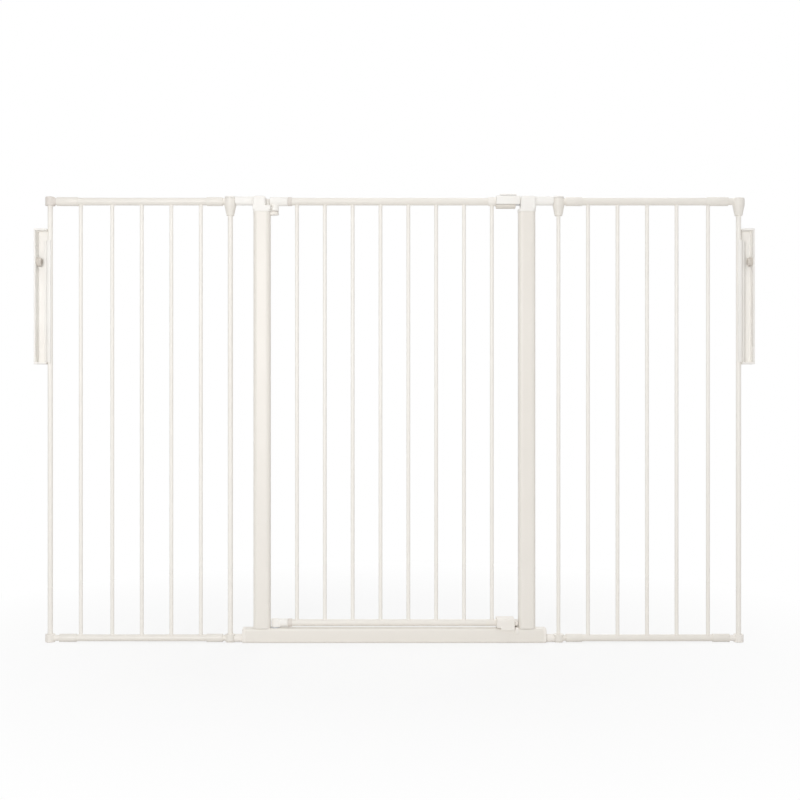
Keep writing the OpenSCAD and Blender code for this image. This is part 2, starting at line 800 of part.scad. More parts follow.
module left_top_corner() {
  color(shade) on_side(-1) difference() {
    union() {
      rod_z(corner_r, end_x, rail_z - rail_r - fit_step, cap_top - fit_step);
      rail_stub(end_x, -1, outer_reach_left, rail_z, rail_r);
    }
    rod_z(end_bar_d / 2 + seat_gap, end_x, rail_z - rail_d, rail_z + end_bar_up);
  }
}

module right_top_corner() {
  color(enamel) difference() {
    union() {
      taper(end_x);
      rail_stub(end_x, -1, outer_reach_right, rail_z, rail_r);
    }
    rod_z(end_bar_d / 2 + seat_gap, end_x, taper_z - 1, rail_z + end_bar_up);
  }
}

module bottom_corner(s) {
  color(moulding) on_side(s) difference() {
    union() {
      rod_z(corner_r, end_x, floor_gap, fitting_low_top);
      rail_stub(end_x, -1, outer_reach_low, side_z, low_r);
    }
    rod_z(end_bar_d / 2 + seat_gap, end_x, socket_z, fitting_low_top + 1);
  }
}

module collar(x0, x1, z, r) {
  difference() {
    pipe_x(r + collar_t, collar_t - seat_gap, x0, x1, z);
    for (x = side_x) rod_z(bar_d / 2 + seat_gap, x, z == side_z ? z : z - rail_d,
      z == side_z ? z + rail_d : z);
  }
}

module collars(s, reach) {
  a = hinge_x + hinge_reach;
  color(enamel) on_side(s) {
    collar(a, a + hinge_collar_l, rail_z, rail_r);
    collar(end_x - reach - outer_collar_l, end_x - reach, rail_z, rail_r);
    collar(a, a + hinge_collar_l, side_z, low_r);
    collar(end_x - outer_reach_low - low_collar_l, end_x - outer_reach_low, side_z, low_r);
  }
}

// ---- wall brackets ----

// a long tray that is open to the front and to the end bar: a side against the wall, a back
// and two ends
module wall_plate(s) {
  half = plate_w / 2;
  color(moulding) on_side(s) difference() {
    block(plate_x, wall_x, -half, half, plate_z, plate_top);
    block(plate_x - 1, side_x0, -half - 1, back_y, plate_z + plate_end_t,
      plate_top - plate_end_t);
    for (z = [plate_z + screw_inset, plate_top - screw_inset]) translate([0, hole_y, 0]) {
      rod_x(screw_hole_d / 2, side_x0 - 1, wall_x + 1, z);
      translate([side_x0 - eps, 0, z]) rotate([0, 90, 0])
        cylinder(r1 = countersink_d / 2, r2 = screw_hole_d / 2, h = countersink_t);
    }
    translate([0, hole_y, 0])
      rod_x(knob_shaft_d / 2 + seat_gap, side_x0 - 1, wall_x + 1, knob_z);
  }
}

module plate_knob(s) {
  color(dark) on_side(s) translate([0, hole_y, 0]) {
    rod_x(knob_d / 2, side_x0 - knob_t, side_x0, knob_z);
    rod_x(knob_shaft_d / 2, side_x0 - knob_t / 2, wall_x - seat_gap, knob_z);
  }
}

// a clip round the end bar that is open to the gate, and stands on the bracket's back
module bar_jaw(s) {
  z0 = plate_z + plate_end_t;
  color(moulding) on_side(s) difference() {
    union() {
      rod_z(jaw_r, end_x, z0, jaw_top);
      block(end_x, end_x + jaw_r + jaw_block_l, 0, back_y, z0, jaw_top);
    }
    rod_z(end_bar_d / 2 + pin_gap, end_x, z0 - 1, jaw_top + 1);
    translate([end_x, 0, 0]) rotate([0, 0, jaw_turn])
      block(-2 * jaw_r, -jaw_mouth, -2 * jaw_r, 2 * jaw_r, z0 - 1, jaw_top + 1);
  }
}

threshold();
threshold_end_caps();
post(-1);  // post_left
post(1);  // post_right
post_cap_left();
post_cap_right();
top_arm(-1);  // top_arm_left
top_arm(1);  // top_arm_right
bottom_arm(-1);  // bottom_arm_left
bottom_arm(1);  // bottom_arm_right
top_hinge_lug();
bottom_hinge_pivot();
bottom_keeper();
hinge_bushings();
door_top_rail();
door_bottom_rail();
door_bars();
door_top_hinge();
door_bottom_hinge();
door_sleeve_rings();
handle_nose();
handle_shell();
handle_cover();
lock_block();
latch_bolt();
latch_slider();
side_rail(-1, rail_z, rail_r, outer_reach_left);  // left_top_rail
side_rail(-1, side_z, low_r, outer_reach_low);  // left_bottom_rail
side_bars(-1);  // left_bars
end_bar(-1);  // left_end_bar
hinge_bar(-1, left_hinge_bar_d);  // left_hinge_bar
top_knuckle(-1, left_hinge_bar_d);  // left_top_knuckle
bottom_knuckle(-1, left_hinge_bar_d);  // left_bottom_knuckle
left_top_corner();
bottom_corner(-1);  // left_bottom_corner
collars(-1, outer_reach_left);  // left_collars
side_rail(1, rail_z, rail_r, outer_reach_right);  // right_top_rail
side_rail(1, side_z, low_r, outer_reach_low);  // right_bottom_rail
side_bars(1);  // right_bars
end_bar(1);  // right_end_bar
hinge_bar(1, right_hinge_bar_d);  // right_hinge_bar
top_knuckle(1, right_hinge_bar_d);  // right_top_knuckle
bottom_knuckle(1, right_hinge_bar_d);  // right_bottom_knuckle
right_top_corner();
bottom_corner(1);  // right_bottom_corner
collars(1, outer_reach_right);  // right_collars
wall_plate(-1);  // left_wall_plate
bar_jaw(-1);  // left_bar_jaw
plate_knob(-1);  // left_plate_knob
wall_plate(1);  // right_wall_plate
bar_jaw(1);  // right_bar_jaw
plate_knob(1);  // right_plate_knob
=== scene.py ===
import json
import math

import bmesh
import bpy
from mathutils import Matrix, Vector


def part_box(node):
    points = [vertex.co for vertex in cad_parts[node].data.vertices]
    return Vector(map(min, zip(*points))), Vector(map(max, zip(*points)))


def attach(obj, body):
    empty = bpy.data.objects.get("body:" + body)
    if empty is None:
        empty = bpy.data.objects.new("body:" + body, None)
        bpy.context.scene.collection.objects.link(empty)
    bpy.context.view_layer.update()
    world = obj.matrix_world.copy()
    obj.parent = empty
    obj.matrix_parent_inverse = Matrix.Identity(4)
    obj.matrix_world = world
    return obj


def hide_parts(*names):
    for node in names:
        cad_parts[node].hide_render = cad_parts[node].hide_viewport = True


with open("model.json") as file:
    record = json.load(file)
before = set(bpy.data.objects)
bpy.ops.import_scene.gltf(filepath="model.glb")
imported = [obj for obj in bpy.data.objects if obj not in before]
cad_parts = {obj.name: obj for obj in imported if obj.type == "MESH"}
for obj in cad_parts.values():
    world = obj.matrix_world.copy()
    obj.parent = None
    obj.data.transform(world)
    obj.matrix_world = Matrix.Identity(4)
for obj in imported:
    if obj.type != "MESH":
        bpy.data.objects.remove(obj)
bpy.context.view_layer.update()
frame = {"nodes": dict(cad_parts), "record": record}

mm = 0.001
scene = bpy.context.scene
scene.view_settings.view_transform = "Standard"
print("frame loaded:", len(frame["nodes"]), "CAD nodes")


# camera, light and floor

cameraSet = {
    "centre": (0.0132, 0.5704),   # X and Z of the line of sight
    "distance": 2.7,              # from the plane of the bars
    "viewWidth": 1.8856,          # what the frame takes in at that plane
    "sensor": 36.0,
}


def makeCamera():
    data = bpy.data.cameras.new("camera")
    data.sensor_width = cameraSet["sensor"]
    data.lens = cameraSet["sensor"] * cameraSet["distance"] / cameraSet["viewWidth"]
    data.clip_end = 50
    camera = bpy.data.objects.new("camera", data)
    x, z = cameraSet["centre"]
    camera.location = (x, -cameraSet["distance"], z)
    camera.rotation_euler = (math.pi / 2, 0, 0)
    scene.collection.objects.link(camera)
    scene.camera = camera


lampSet = {
    "key": {"place": (-0.9, -3.4, 1.1), "aim": (0.0, 0.0, 0.5), "size": 0.9, "power": 47},
    "top": {"place": (0.2, -0.5, 3.6), "aim": (0.1, 0.0, 0.5), "size": 2.2, "power": 22},
    "fill": {"place": (3.6, -1.6, 1.0), "aim": (0.0, 0.0, 0.55), "size": 2.4, "power": 11},
    "back": {"place": (0.6, 2.8, 2.6), "aim": (0.0, 0.0, 0.5), "size": 2.4, "power": 34},
}


def makeLamps():
    for name, part in lampSet.items():
        data = bpy.data.lights.new(name, "AREA")
        data.shape = "DISK"
        data.size = part["size"]
        data.energy = part["power"]
        lamp = bpy.data.objects.new(name, data)
        lamp.location = part["place"]
        towards = Vector(part["aim"]) - Vector(part["place"])
        lamp.rotation_euler = towards.to_track_quat("-Z", "Y").to_euler()
        scene.collection.objects.link(lamp)


# shader maths

class Wire:
    # one output socket of a shader node; arithmetic on it adds Math nodes
    def __init__(self, tree, socket=None):
        self.tree, self.socket = tree, socket

    def node(self, kind, settings=None, sockets=None, out=0):
        made = self.tree.nodes.new(kind)
        for name, value in (settings or {}).items():
            setattr(made, name, value)
        for name, value in (sockets or {}).items():
            if isinstance(value, Wire):
                self.tree.links.new(value.socket, made.inputs[name])
            else:
                made.inputs[name].default_value = value
        return Wire(self.tree, made.outputs[out])

    def maths(self, operation, a, b=0.0):
        return self.node("ShaderNodeMath", {"operation": operation}, {0: a, 1: b})

    def __add__(self, other):
        return self.maths("ADD", self, other)

    def __sub__(self, other):
        return self.maths("SUBTRACT", self, other)

    def __rsub__(self, other):
        return self.maths("SUBTRACT", other, self)

    def __mul__(self, other):
        return self.maths("MULTIPLY", self, other)

    def clamped(self, low, high):
        kind = {"clamp": True}
        sockets = {"Value": self, "From Min": low, "From Max": high}
        return self.node("ShaderNodeMapRange", kind, sockets)


def mixColour(wire, factor, a, b):
    return wire.node("ShaderNodeMix", {"data_type": "RGBA"}, {0: factor, 6: a, 7: b}, 2)


def noise(wire, place, scale, detail=2.0, roughness=0.5):
    sockets = {"Vector": place, "Scale": scale, "Detail": detail, "Roughness": roughness}
    return wire.node("ShaderNodeTexNoise", {}, sockets)


def seenByCamera(wire):
    # 1 for the camera's own rays and for mirrored and refracted ones
    camera, glossy, clear = (wire.node("ShaderNodeLightPath", {}, {}, k) for k in (0, 3, 6))
    return wire.maths("MAXIMUM", wire.maths("MAXIMUM", camera, glossy), clear)


def linear(*srgb):
    # a colour given on a 0 to 255 scale, as the shader wants it
    parts = [c / 255 for c in srgb]
    parts = [c / 12.92 if c < 0.04045 else ((c + 0.055) / 1.055) ** 2.4 for c in parts]
    return (*parts, 1.0)


def emptied(block):
    # a material's or world's own node tree, with nothing in it
    block.use_nodes = True
    block.node_tree.nodes.clear()
    return Wire(block.node_tree)


def endTree(wire, shader, kind):
    out = wire.tree.nodes.new("ShaderNodeOutput" + kind)
    wire.tree.links.new(shader.socket, out.inputs["Surface"])


# surroundings

roomSet = {
    "ambient": 0.42,
    "floorSize": 7.0,
    "floorZ": -0.4,                     # in millimetres, clear of the feet
    "bounce": (0.81, 0.80, 0.79, 1),    # the floor's colour as it lights the gate
    "seen": (0.95, 0.95, 0.95, 1),      # and as the camera sees it
    "shadowShare": 0.25,
    "nearby": (0.5, 1.3),               # where the floor turns from shaded to plain white
}


def makeWorld():
    scene.world = bpy.data.worlds.new("studio")
    wire = emptied(scene.world)
    strength = seenByCamera(wire) * (1 - roomSet["ambient"]) + roomSet["ambient"]
    back = wire.node("ShaderNodeBackground", {}, {"Color": (1, 1, 1, 1), "Strength": strength})
    endTree(wire, back, "World")


def makeFloor():
    half = roomSet["floorSize"] / 2
    mesh = bpy.data.meshes.new("floor")
    square = [(-half, -half), (half, -half), (half, half), (-half, half)]
    z = roomSet["floorZ"] * mm
    mesh.from_pydata([(x, y, z) for x, y in square], [], [(0, 1, 2, 3)])
    floor = bpy.data.objects.new("floor", mesh)
    scene.collection.objects.link(floor)
    material = bpy.data.materials.new("paleFloor")
    wire = emptied(material)
    place = wire.node("ShaderNodeTexCoord", {}, {}, 3)
    length = wire.node("ShaderNodeVectorMath", {"operation": "LENGTH"}, {0: place}, 1)
    far = length.clamped(*roomSet["nearby"])
    seen = seenByCamera(wire)
    pale = mixColour(wire, seen, roomSet["bounce"], roomSet["seen"])
    matt = wire.node("ShaderNodeBsdfDiffuse", {}, {"Color": pale})
    white = wire.node("ShaderNodeEmission", {}, {"Color": (1, 1, 1, 1), "Strength": 1.0})
    plain = 1 - (1 - far) * roomSet["shadowShare"]
    mixed = wire.node("ShaderNodeMixShader", {}, {0: seen * plain, 1: matt, 2: white})
    endTree(wire, mixed, "Material")
    mesh.materials.append(material)


# finishes

def coating(name, part):
    # paint or plastic: slow drift of colour, specks, and a fine grain in the surface
    material = bpy.data.materials.new(name)
    wire = emptied(material)
    place = wire.node("ShaderNodeTexCoord", {}, {}, 3)
    drift = noise(wire, place, part["driftScale"], 3.0).clamped(0.3, 0.7)
    colour = mixColour(wire, drift, linear(*part["colour"]), linear(*part["tint"]))
    speck = noise(wire, place, part["speckScale"], 1.0).clamped(part["speckFrom"], 1.0)
    colour = mixColour(wire, speck * part["speckShare"], colour, linear(*part["speckColour"]))
    smudge = noise(wire, place, part["smudgeScale"], 4.0, 0.6)
    rough = smudge * part["smudge"] + (part["roughness"] - part["smudge"] / 2)
    grain = noise(wire, place, part["grainScale"], part["grainDetail"])
    bump = wire.node("ShaderNodeBump", {}, {"Strength": 1.0, "Distance": part["grain"] * mm,
                                            "Height": grain})
    shader = wire.node("ShaderNodeBsdfPrincipled", {}, {
        "Base Color": colour, "Roughness": rough, "Normal": bump, "IOR": part["ior"]})
    endTree(wire, shader, "Material")
    return material


coatingSet = {
    "enamel": {"slot": "enamel", "colour": (241, 237, 230), "tint": (237, 232, 224),
               "driftScale": 2.2, "speckScale": 420.0, "speckFrom": 0.74, "speckShare": 0.5,
               "speckColour": (200, 192, 182), "smudgeScale": 14.0, "smudge": 0.12,
               "roughness": 0.40, "grainScale": 700.0, "grainDetail": 1.5, "grain": 0.05,
               "ior": 1.48},
    "moulding": {"slot": "moulding", "colour": (250, 248, 244), "tint": (247, 244, 239),
                 "driftScale": 9.0, "speckScale": 600.0, "speckFrom": 0.76, "speckShare": 0.3,
                 "speckColour": (226, 221, 214), "smudgeScale": 30.0, "smudge": 0.10,
                 "roughness": 0.52, "grainScale": 2200.0, "grainDetail": 2.0, "grain": 0.04,
                 "ior": 1.46},
}
# what the other finishes change. Thin bars carry a thinner, paler coat, and the lower fittings are
# moulded in a warmer tone of the same plastic. The handle's shell takes a darker tone as painted
# shade under the cover, and the grey plastic's darker tone is painted shade on the door's sleeve
# rings
variantSet = {
    # darker than the moulding: on the door's sleeve rings this is painted shade at the hinge
    # sleeve's end; the bushings and the left top corner take it as their slot's grey
    "greyPlasticPaintedShade": ("moulding", {
        "slot": "shade_plastic", "colour": (231, 225, 218), "tint": (226, 219, 212),
        "driftScale": 12.0, "speckColour": (190, 182, 174), "roughness": 0.55, "grain": 0.05}),
    "darkPlastic": ("moulding", {
        "slot": "dark_plastic", "colour": (222, 215, 206), "tint": (214, 207, 198),
        "driftScale": 40.0, "speckScale": 900.0, "speckFrom": 0.72, "speckShare": 0.4,
        "speckColour": (196, 190, 182), "smudgeScale": 60.0, "smudge": 0.12, "roughness": 0.5,
        "grainScale": 2600.0, "grain": 0.06, "ior": 1.48}),
    "zinc": ("moulding", {
        "slot": "zinc", "colour": (205, 206, 208), "tint": (188, 190, 194),
        "driftScale": 60.0, "speckScale": 900.0, "speckFrom": 0.7, "speckShare": 0.4,
        "speckColour": (160, 162, 168), "smudgeScale": 80.0, "smudge": 0.16, "roughness": 0.34,
        "grainScale": 1500.0, "grain": 0.02, "ior": 2.2}),
    "paleEnamel": ("enamel", {"colour": (248, 245, 239), "tint": (244, 240, 233)}),
    "warmMoulding": ("moulding", {"colour": (247, 243, 237), "tint": (243, 238, 231),
                                  "speckColour": (220, 214, 205)}),
    # darker than the moulding: painted shade for the handle's lower shell under the cover
    "shellMouldingPaintedShade": ("moulding", {"colour": (233, 228, 220), "tint": (228, 222, 213),
                                   "speckColour": (210, 204, 195)}),
}
for name, (base, change) in variantSet.items():
    coatingSet[name] = {**coatingSet[base], **change}
slotOf = {name: part["slot"] for name, part in coatingSet.items()}
finish = {name: coating(name, part) for name, part in coatingSet.items()}
finishOfSlot = {}
for name, slot in slotOf.items():
    finishOfSlot.setdefault(slot, finish[name])    # the first finish of a slot is its own
print("finishes made:", len(finish))


def paintFrame():
    for part in frame["record"]["subparts"]:
        mesh = frame["nodes"][part["node"]].data
        mesh.materials.clear()
        thin = part["node"].endswith(("_bar", "_bars"))
        mesh.materials.append(finish["paleEnamel"] if thin
                              else finishOfSlot[part["material_slot"]])


makeCamera()
makeLamps()
makeWorld()
makeFloor()
paintFrame()
print("stage and finishes set")


# mesh helpers: shapes are drawn in millimetres and end in metres

def span(node):
    low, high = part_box(node)
    return low / mm, high / mm


def middle(node):
    low, high = span(node)
    return (low + high) / 2


def along(axis, u, v, w):
    # u and v across, w along the axis
    return {"x": (w, u, v), "y": (u, w, v), "z": (u, v, w)}[axis]


def corners(width, depth, radius, steps=6):
    # the outline of a rectangle with rounded corners
    radius = max(min(radius, width / 2 - 0.01, depth / 2 - 0.01), 0.01)
    points = []
    for k, (su, sv) in enumerate(((1, 1), (-1, 1), (-1, -1), (1, -1))):
        for j in range(steps + 1):
            a = math.pi / 2 * (k + j / steps)
            points.append((su * (width / 2 - radius) + radius * math.cos(a),
                           sv * (depth / 2 - radius) + radius * math.sin(a)))
    return points


def loft(rings, closed=False):
    # skins rings of points; an open loft gets its two ends filled
    shape = bmesh.new()
    rows = [[shape.verts.new(point) for point in ring] for ring in rings]
    pairs = list(zip(rows, rows[1:]))
    if closed:
        pairs.append((rows[-1], rows[0]))
    for a, b in pairs:
        for j in range(len(a)):
            k = (j + 1) % len(a)
            shape.faces.new((a[j], a[k], b[k], b[j]))
    if not closed:
        shape.faces.new(rows[0])
        shape.faces.new(rows[-1])
    bmesh.ops.remove_doubles(shape, verts=shape.verts, dist=1e-4)
    bmesh.ops.recalc_face_normals(shape, faces=shape.faces)
    return shape


def roundedStations(a, b, edgeA, edgeB, steps=4):
    # places from a to b with how far each ring is drawn in, for rounded ends
    turns = [math.pi / 2 * j / steps for j in range(steps + 1)]
    start = [(a + edgeA * (1 - math.cos(t)), edgeA * (1 - math.sin(t))) for t in turns]
    end = [(b - edgeB * (1 - math.sin(t)), edgeB * (1 - math.cos(t))) for t in turns]
    return (start if edgeA else [(a, 0.0)]) + (end if edgeB else [(b, 0.0)])


def beam(axis, a, b, centre, width, depth, radius, edgeA=0.0, edgeB=0.0):
    # a rounded section drawn along an axis, its ends rounded by edgeA and edgeB
    rings = []
    for place, pull in roundedStations(a, b, edgeA, edgeB):
        section = corners(width - 2 * pull, depth - 2 * pull, max(radius - pull, 0.3))
        rings.append([along(axis, u + centre[0], v + centre[1], place) for u, v in section])
    return loft(rings)


def lathe(axis, profile, centre, steps=48, hollow=False):
    # profile: places along the axis with their radii; a hollow one is a closed loop
    rings = []
    for place, radius in profile:
        radius = max(radius, 0.002)
        ring = [(radius * math.cos(2 * math.pi * j / steps),
                 radius * math.sin(2 * math.pi * j / steps)) for j in range(steps)]
        rings.append([along(axis, u + centre[0], v + centre[1], place) for u, v in ring])
    return loft(rings, closed=hollow)


def rod(axis, a, b, radius, centre, edgeA=0.0, edgeB=0.0):
    profile = [(place, radius - pull) for place, pull in roundedStations(a, b, edgeA, edgeB)]
    return lathe(axis, profile, centre)


def sleeve(axis, a, b, outer, inner, centre, lip):
    # a short tube with eased rims
    profile = [(place, outer - pull) for place, pull in roundedStations(a, b, lip, lip, 3)]
    profile += [(b, inner), (a, inner)]
    return lathe(axis, profile, centre, hollow=True)


def prism(outline, low, high, edge):
    # an outline drawn upwards, with eased end loops
    shape = loft([[(u, v, z) for u, v in outline] for z in (low, high)])
    ends = [e for e in shape.edges if abs(e.verts[0].co.z - e.verts[1].co.z) < 1e-5]
    bmesh.ops.bevel(shape, geom=ends, offset=edge, segments=2, profile=0.5,
                    affect="EDGES", clamp_overlap=True)
    return shape


def easedCorner(before, corner, after, radius, steps=4):
    # points that round one corner of an outline
    here = Vector(corner)
    back, on = Vector(before) - here, Vector(after) - here
    reach = min(radius, back.length * 0.48, on.length * 0.48)
    a, b = here + back.normalized() * reach, here + on.normalized() * reach
    turns = [j / steps for j in range(steps + 1)]
    return [tuple(a * (1 - t) ** 2 + here * 2 * t * (1 - t) + b * t * t) for t in turns]


def flipped(shape, side):
    # the same shape on the other side of the gate
    if side < 0:
        for vert in shape.verts:
            vert.co.x = -vert.co.x
        bmesh.ops.reverse_faces(shape, faces=shape.faces)
    return shape


def outward(node, side):
    # where a CAD node starts and ends along X, as drawn on the right side
    low, high = span(node)
    return (low.x, high.x) if side > 0 else (-high.x, -low.x)


def meshOf(shape):
    mesh = bpy.data.meshes.new("part")
    shape.to_mesh(mesh)
    shape.free()
    return mesh


def joined(shapes):
    whole = bmesh.new()
    for shape in shapes:
        mesh = meshOf(shape)
        whole.from_mesh(mesh)
        bpy.data.meshes.remove(mesh)
    return whole


def bmeshOf(mesh):
    shape = bmesh.new()
    shape.from_mesh(mesh)
    bpy.data.meshes.remove(mesh)
    return shape


def evaluated(mesh, modifiers, **inputs):
    # the mesh after a list of modifiers, with a node tree's inputs set by name; nothing
    # else is left in the scene
    helper = bpy.data.objects.new("helper", mesh)
    scene.collection.objects.link(helper)
    for kind, settings in modifiers:
        made = helper.modifiers.new(kind.lower(), kind)
        for name, value in settings.items():
            setattr(made, name, value)
        for item in made.node_group.interface.items_tree if kind == "NODES" else ():
            if item.in_out == "INPUT" and item.name in inputs:
                made[item.identifier] = inputs[item.name]
    graph = bpy.context.evaluated_depsgraph_get()
    result = bpy.data.meshes.new_from_object(helper.evaluated_get(graph))
    bpy.data.objects.remove(helper)
    bpy.data.meshes.remove(mesh)
    return result


def bored(mesh, cutters):
    # takes closed shapes out of a closed mesh
    for cutter in cutters:
        tool = bpy.data.objects.new("cutter", meshOf(cutter))
        scene.collection.objects.link(tool)
        mesh = evaluated(mesh, [("BOOLEAN", {"operation": "DIFFERENCE", "object": tool,
                                             "solver": "EXACT"})])
        data = tool.data
        bpy.data.objects.remove(tool)
        bpy.data.meshes.remove(data)
    return mesh


def moulded(adds, bores, voxel, rounds):
    # closed shapes grown into one smooth moulding; bores come last, with crisp edges
    remesh = ("REMESH", {"mode": "VOXEL", "voxel_size": voxel})
    ease = ("SMOOTH", {"factor": 0.5, "iterations": rounds})
    return bored(evaluated(meshOf(joined(adds)), [remesh, ease]), bores)


def sideMoulded(adds, bores, side, voxel, crisp=()):
    # a moulding drawn on the right side, with crisp shapes joined on at the end
    mesh = moulded([flipped(shape, side) for shape in adds],
                   [flipped(shape, side) for shape in bores], voxel, 3)
    return joined([bmeshOf(mesh), *(flipped(shape, side) for shape in crisp)]) if crisp else mesh


def place(name, made, body, finishName, nodes=(), sharp=38):
    # a finished piece: in metres, shaded, riding on its body
    mesh = meshOf(made) if isinstance(made, bmesh.types.BMesh) else made
    mesh.name = name
    mesh.transform(Matrix.Scale(mm, 4))
    mesh.shade_smooth()
    mesh.set_sharp_from_angle(angle=math.radians(sharp))
    mesh.materials.clear()
    mesh.materials.append(finish[finishName])
    for polygon in mesh.polygons:
        polygon.material_index = 0
    piece = bpy.data.objects.new(name, mesh)
    scene.collection.objects.link(piece)
    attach(piece, body)
    if nodes:
        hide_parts(*nodes)


# what the CAD says, in millimetres

railZ, doorZ, sideZ = (middle(n).z for n in ("door_top_rail", "door_bottom_rail",
                                             "right_bottom_rail"))
railR = (span("door_top_rail")[1].z - span("door_top_rail")[0].z) / 2
lowR = (span("right_bottom_rail")[1].z - span("right_bottom_rail")[0].z) / 2
axisX = middle("bottom_hinge_pivot").x
hingeX, endX = middle("right_hinge_bar").x, middle("right_end_bar").x
postIn, postOut = span("post_right")[0].x, span("post_right")[1].x
postTop = span("post_right")[1].z
sides = {"left": -1, "right": 1}


def looseSpans(node, k):
    # where each loose solid of a CAD node starts and ends along one axis
    shape = bmesh.new()
    shape.from_mesh(frame["nodes"][node].data)
    bmesh.ops.remove_doubles(shape, verts=shape.verts, dist=1e-6)
    found, left = [], set(shape.verts)
    while left:
        batch, queue = [], [left.pop()]
        while queue:
            vert = queue.pop()
            batch.append(vert.co[k] / mm)
            for edge in vert.link_edges:
                other = edge.other_vert(vert)
                if other in left:
                    left.remove(other)
                    queue.append(other)
        found.append((min(batch), max(batch)))
    shape.free()
    return sorted(found)


# door frame

plugSet = {"seam": 0.5, "edge": 2.0, "dish": 0.5, "rim": 3.2, "plug": 12.0, "plugIn": 1.9,
           "corner": 5.0}


def makeEndCaps():
    low, high = span("threshold_end_caps")
    start = span("threshold")[1].x
    deep, tall, middleZ = high.y - low.y, high.z - low.z, (low.z + high.z) / 2
    seam, edge, rim = plugSet["seam"], plugSet["edge"], plugSet["rim"]
    plugIn = plugSet["plugIn"]
    shapes = []
    for side in sides.values():
        stations = [(start - plugSet["plug"], plugIn), (start - 0.1, plugIn), (start, seam),
                    (start + 0.5, seam), (start + 0.9, 0.0)]
        stations += roundedStations(start + 1.0, high.x, 0.0, edge)
        stations += [(high.x, rim), (high.x - plugSet["dish"], rim + 0.6)]
        rings = []
        for x, pull in stations:
            section = corners(deep - 2 * pull, tall - 2 * pull, max(plugSet["corner"] - pull, 1))
            rings.append([(x, u, v + middleZ) for u, v in section])
        shapes.append(flipped(loft(rings), side))
    place("endCaps", joined(shapes), "door_frame", "warmMoulding", ["threshold_end_caps"])


capSet = {"flange": 6.0, "flangeEdge": 1.2, "footCorner": 10.0, "groove": 0.7, "grooveUp": 1.0,
          "topEdge": 5.0, "corner": 5.0, "insetLatch": 5.5, "insetHinge": 12.0,
          "boltTall": 9.7, "boltWide": 13.0, "pocketRoom": 1.8, "pocketDeep": 9.5,
          "cheekY": 3.0, "swingR": 16.35, "sleeveWall": 1.5, "gap": 0.3,
          "shelfEdge": 0.6, "shelfCorner": 1.5, "spigotDown": 20.0, "spigotWide": 36.6,
          "spigotDeep": 26.6, "spigotR": 8.4, "voxel": 0.6}


def makeCap(name, side):
    low, high = span("post_cap_" + name)
    inner, outer = outward("post_cap_" + name, side)
    flangeTop = postTop + capSet["flange"]
    bodyIn = inner + capSet["insetLatch" if side > 0 else "insetHinge"]
    depth = high.y - low.y
    x, w = (inner + outer) / 2, outer - inner
    bodyX, bodyW, bodyLow = (bodyIn + outer) / 2, outer - bodyIn, flangeTop + capSet["grooveUp"]
    adds = [beam("z", postTop, flangeTop, (x, 0), w, depth, capSet["footCorner"],
                 capSet["flangeEdge"], capSet["flangeEdge"]),
            beam("z", flangeTop - 1, bodyLow, (bodyX, 0), bodyW - 2 * capSet["groove"],
                 depth - 2 * capSet["groove"], capSet["corner"]),
            beam("z", bodyLow, high.z, (bodyX, 0), bodyW, depth, capSet["corner"], 0.5,
                 capSet["topEdge"])]
    bores = []
    if side < 0:
        cheekTop = high.z - capSet["topEdge"]
        adds.append(beam("y", capSet["cheekY"], high.y,
                         ((inner + bodyIn + 2) / 2, (flangeTop + cheekTop) / 2),
                         bodyIn + 2 - inner, cheekTop - flangeTop + 1, 1.0, 0.8, 0.8))
        shelfTop = span("door_top_hinge")[1].z - 2 * (railR + capSet["sleeveWall"]) - capSet["gap"]
        adds.append(beam("z", flangeTop - 1, shelfTop, (x, 0), w, depth,
                         capSet["shelfCorner"], 0.0, capSet["shelfEdge"]))
        bores.append(rod("z", shelfTop, high.z + 3, capSet["swingR"], (-axisX, 0)))
    if side > 0:
        bolt, room = span("latch_bolt"), capSet["pocketRoom"]
        z0, z1 = bolt[0].z - room, bolt[0].z + capSet["boltTall"] + room
        bores.append(beam("x", bodyIn - 3, bodyIn + capSet["pocketDeep"], (0, (z0 + z1) / 2),
                          capSet["boltWide"] + 2 * room, z1 - z0, 1.2))
    spigot = beam("z", postTop - capSet["spigotDown"], postTop + 2, (x, 0),
                  capSet["spigotWide"], capSet["spigotDeep"], capSet["spigotR"], 1.0)
    place("cap." + name, sideMoulded(adds, bores, side, capSet["voxel"], [spigot]),
          "door_frame", "moulding", ["post_cap_" + name])


armSet = {"deep": 18.0, "tall": 21.0, "edge": 8.0, "flare": 1.6, "flareLength": 5.0,
          "lugR": 13.0, "lugEdge": 0.9, "roomR": 15.0, "topPinR": 4.5, "gap": 0.3,
          "footTop": 19.0, "footR": 11.0, "footRoomR": 13.0, "footPinR": 4.0,
          "voxel": 0.6}


